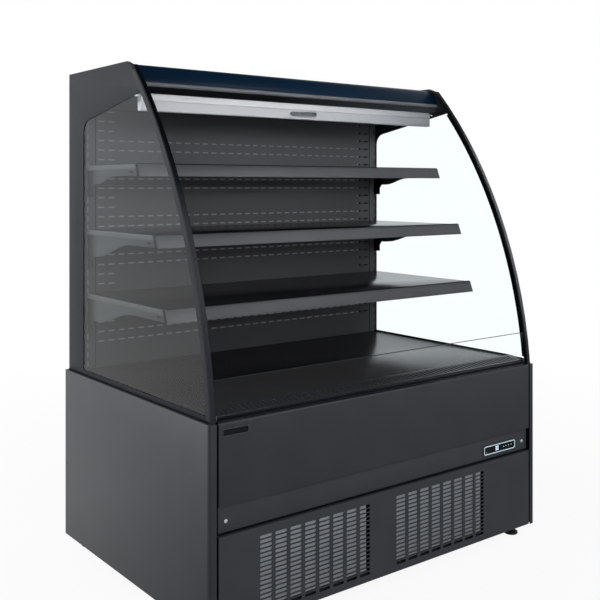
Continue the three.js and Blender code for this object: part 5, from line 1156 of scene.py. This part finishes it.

# %% [markdown]
# ## Perforation beside the return-air slots
# A row of pinholes runs along the fold behind the slots, one every 7 mm. A real one is about 1.5 mm
# across, drawn at 2 mm so that it shows, and a thin disc of painted shade in the sheet is all there is to see
# of it.

# %% Pinholes
HOLE_PITCH, HOLE_RADIUS, HOLE_CORNERS = 7 * MM, 1 * MM, 8
HOLE_ROW = 13 * MM        # in front of the grille's rear edge
ROW_MARGIN = 30 * MM      # plain sheet at the row's two ends, together
DISC_RISE, DISC_SHEET = 0.12 * MM, 0.1 * MM
row_y = return_high.y - HOLE_ROW
count = int((return_high.x - return_low.x - ROW_MARGIN) / HOLE_PITCH)
shape = bmesh.new()
for i in range(count):
    x = (i - (count - 1) / 2) * HOLE_PITCH
    ring = []
    for k in range(HOLE_CORNERS):
        angle = 2 * math.pi * k / HOLE_CORNERS
        y = row_y + HOLE_RADIUS * math.sin(angle)
        ring.append((x + HOLE_RADIUS * math.cos(angle), y,
                     return_high.z - (crest_y - y) * GRILLE_SLOPE + DISC_RISE))
    add_prism(shape, ring, (0, 0, -DISC_SHEET))
adopt(from_shape("return_pinholes", shape), hollow_shade, "cabinet", "shelf_coat")
print(count, "pinholes")

# %% [markdown]
# ## The legs of the curved channels
# In section each curved channel is a U, whose legs hold the glass. The frame has the U's nose, and its
# legs reach 21 mm in from the edge here, grey outside and black inside. They follow the same arc as the
# channel, whose centre comes from its two ends and its radius.

# %% The channels' arc
EDGE_RADIUS = 1384 * MM
edge_foot = Vector((-373.5 * MM, 494 * MM))  # ends of the arc, as y and z
edge_head = Vector((-13.6 * MM, 1312 * MM))
chord = edge_head - edge_foot
centre_off = math.sqrt(EDGE_RADIUS ** 2 - chord.length_squared / 4)
edge_centre = (edge_foot + edge_head) / 2 + Vector((chord.y, -chord.x)).normalized() * centre_off


def edge_y(inset, z):
    """How far back the edge is at a height, or a curve that runs inside it."""
    return edge_centre.x - math.sqrt((EDGE_RADIUS - inset) ** 2 - (z - edge_centre.y) ** 2)


arc_degrees = 2 * math.degrees(math.asin(chord.length / 2 / EDGE_RADIUS))
print("the channels follow an arc of", round(arc_degrees), "degrees")


# %% Channel legs
def add_leg(shape, insets, across, heights, steps=28):
    """A curved strip between two insets from the edge, two distances from the middle and two heights."""
    rows = []
    for i in range(steps + 1):
        z = heights[0] + (heights[1] - heights[0]) * i / steps
        rows.append([shape.verts.new((x, edge_y(inset, z), z))
                     for inset, x in ((insets[0], across[0]), (insets[0], across[1]),
                                      (insets[1], across[1]), (insets[1], across[0]))])
    for near, beyond in zip(rows, rows[1:]):
        for i in range(4):
            shape.faces.new((near[i], near[(i + 1) % 4], beyond[(i + 1) % 4], beyond[i]))
    shape.faces.new(rows[0])
    shape.faces.new(rows[-1][::-1])


# Each strip: insets from the edge, distances from the middle, and heights.
OUTER_FACE = ((5 * MM, 21 * MM), (545.1 * MM, 545.5 * MM), (498 * MM, 1300 * MM))
OUTER_FILL = ((10.6 * MM, 21 * MM), (543.5 * MM, 545.1 * MM), (509 * MM, 1205 * MM))  # up to the glass
INNER_LEG = ((10.6 * MM, 19 * MM), (534 * MM, 537 * MM), (514 * MM, 1236 * MM))
for side, name in zip((-1, 1), SIDES):
    for stem, coat, strips in (("outer", leg_coat, (OUTER_FACE, OUTER_FILL)),
                               ("inner", matt_black, (INNER_LEG,))):
        shape = bmesh.new()
        for insets, across, heights in strips:
            add_leg(shape, insets, [side * x for x in across], heights)
        adopt(from_shape(f"channel_leg_{stem}_{name}", shape), coat, "cabinet", "black_edge_channel")
print("channel legs from", OUTER_FACE[2][0], "to", OUTER_FACE[2][1], "m")

# %% [markdown]
# ## Joints, liner and printed glass borders
# A shadow gap runs where each upright meets the rear wall. A galvanised liner inside the left upright
# shows as light dashes in its slots. The glass has a printed border, which hides the end of the deck and
# the pocket that its rear edge stands in, on grey setting tape.

# %% Joints and liner of the uprights
JOINT_X, JOINT_HALF = 509.3 * MM, 1 * MM
JOINT_RISE = (0.35 * MM, 0.05 * MM)  # the joint's dark strip, in front of the upright's face
JOINT_FOOT, JOINT_TOP = 17 * MM, 1228 * MM
LINER_LOW, LINER_HIGH = (-535.4 * MM, 292.4 * MM, 500 * MM), (-511 * MM, 292.8 * MM, 1180 * MM)
low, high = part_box("upright_left")
shape = bmesh.new()
for side in (-1, 1):
    x = side * JOINT_X
    add_block(shape, (x - JOINT_HALF, low.y - JOINT_RISE[0], low.z + JOINT_FOOT),
              (x + JOINT_HALF, low.y - JOINT_RISE[1], JOINT_TOP))
adopt(from_shape("upright_joints", shape), hollow_shade, "cabinet", "dark_powder_coat")
# The liner takes the baffle's finish, and with it the painted glow.
adopt(one_block("upright_liner", LINER_LOW, LINER_HIGH), baffle_steel, "cabinet", "galvanised_sheet")
print("joints up to", JOINT_TOP, "m")

# %% Printed borders and setting tape
BORDER_X = (537.06 * MM, 537.14 * MM)  # the print lies on the glass's inner face
TAPE_X = (537.3 * MM, 543.1 * MM)      # the tape lies against its rear edge
tape_grey, tree, shader = finish("grey_butyl_setting_tape", "8c8e90", 0.7)
drift(tree, shader, "88898b", "909294", 15)
grain(tree, shader, spacing_mm=1.0, depth_mm=0.01, strength=0.2)
# Each border: distances from the middle, depths, heights and finish.
BORDERS = {"glass_border": (BORDER_X, (282.4 * MM, 301 * MM), (512 * MM, 1150 * MM), frame_coat),
           "glass_foot_border": (BORDER_X, (-350 * MM, 281 * MM), (496 * MM, 509.5 * MM), matt_black),
           "setting_tape": (TAPE_X, (295.05 * MM, 295.25 * MM), (500 * MM, 1165 * MM), tape_grey)}
for side, name in zip((-1, 1), SIDES):
    for stem, ((x0, x1), (y0, y1), (z0, z1), coat) in BORDERS.items():
        adopt(one_block(f"{stem}_{name}", (side * x0, y0, z0), (side * x1, y1, z1)), coat, "cabinet",
              "black_edge_channel")
print(len(BORDERS) * 2, "borders and tapes")

# %% [markdown]
# ## The fascia's lip and the blind bar's fittings
# The fascia folds back in a lip under the front glass, glossy where the coat has run smooth. The blind's
# bar has a steel pin at each end, and its oval handle has a dished plate.

# %% Lip, pins and dish
FOLD_SHEET = (0.02 * MM, 0.25 * MM)  # above the fascia's top edge
FOLD_Y = (1.2 * MM, 11 * MM)         # behind the fascia's face
FOLD_INSET = 0.5 * MM
low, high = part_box("fascia")
fold_low = (low.x + FOLD_INSET, low.y + FOLD_Y[0], high.z + FOLD_SHEET[0])
fold_high = (high.x - FOLD_INSET, low.y + FOLD_Y[1], high.z + FOLD_SHEET[1])
adopt(one_block("fascia_lip", fold_low, fold_high), shelf_coat, "cabinet", "dark_powder_coat")

PIN_RADIUS, PIN_LENGTH, PIN_CORNERS = 2.5 * MM, 8 * MM, 12
PIN_INSET, PIN_PLACE = 0.5 * MM, 7 * MM  # into the bar's end, and from its front and its top
low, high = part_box("blind_bar")
bar_face_y = low.y
shape = bmesh.new()
for side in (-1, 1):
    ring = []
    for k in range(PIN_CORNERS):
        angle = 2 * math.pi * k / PIN_CORNERS
        ring.append((side * (high.x - PIN_INSET), low.y + PIN_PLACE + PIN_RADIUS * math.cos(angle),
                     high.z - PIN_PLACE + PIN_RADIUS * math.sin(angle)))
    add_prism(shape, ring, (side * PIN_LENGTH, 0, 0))
adopt(from_shape("bar_pins", shape), zinc, "blind", "galvanised_sheet")

DISH_INSET, DISH_RISE, DISH_SHEET = 2.5 * MM, 1 * MM, 0.5 * MM
low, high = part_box("blind_handle")
outline = round_slot((low.x + high.x) / 2, (low.z + high.z) / 2, high.x - low.x - 2 * DISH_INSET,
                     high.z - low.z - 2 * DISH_INSET)
dish = punched_sheet("dish", outline, [], bar_face_y - DISH_RISE, DISH_SHEET)
adopt(from_shape("handle_dish", dish), handle_metal, "blind", "galvanised_sheet")
print("lip, 2 pins and a dish")

# %% [markdown]
# ## The end
# The scene is brought up to date.

# %% Finish
bpy.context.view_layer.update()
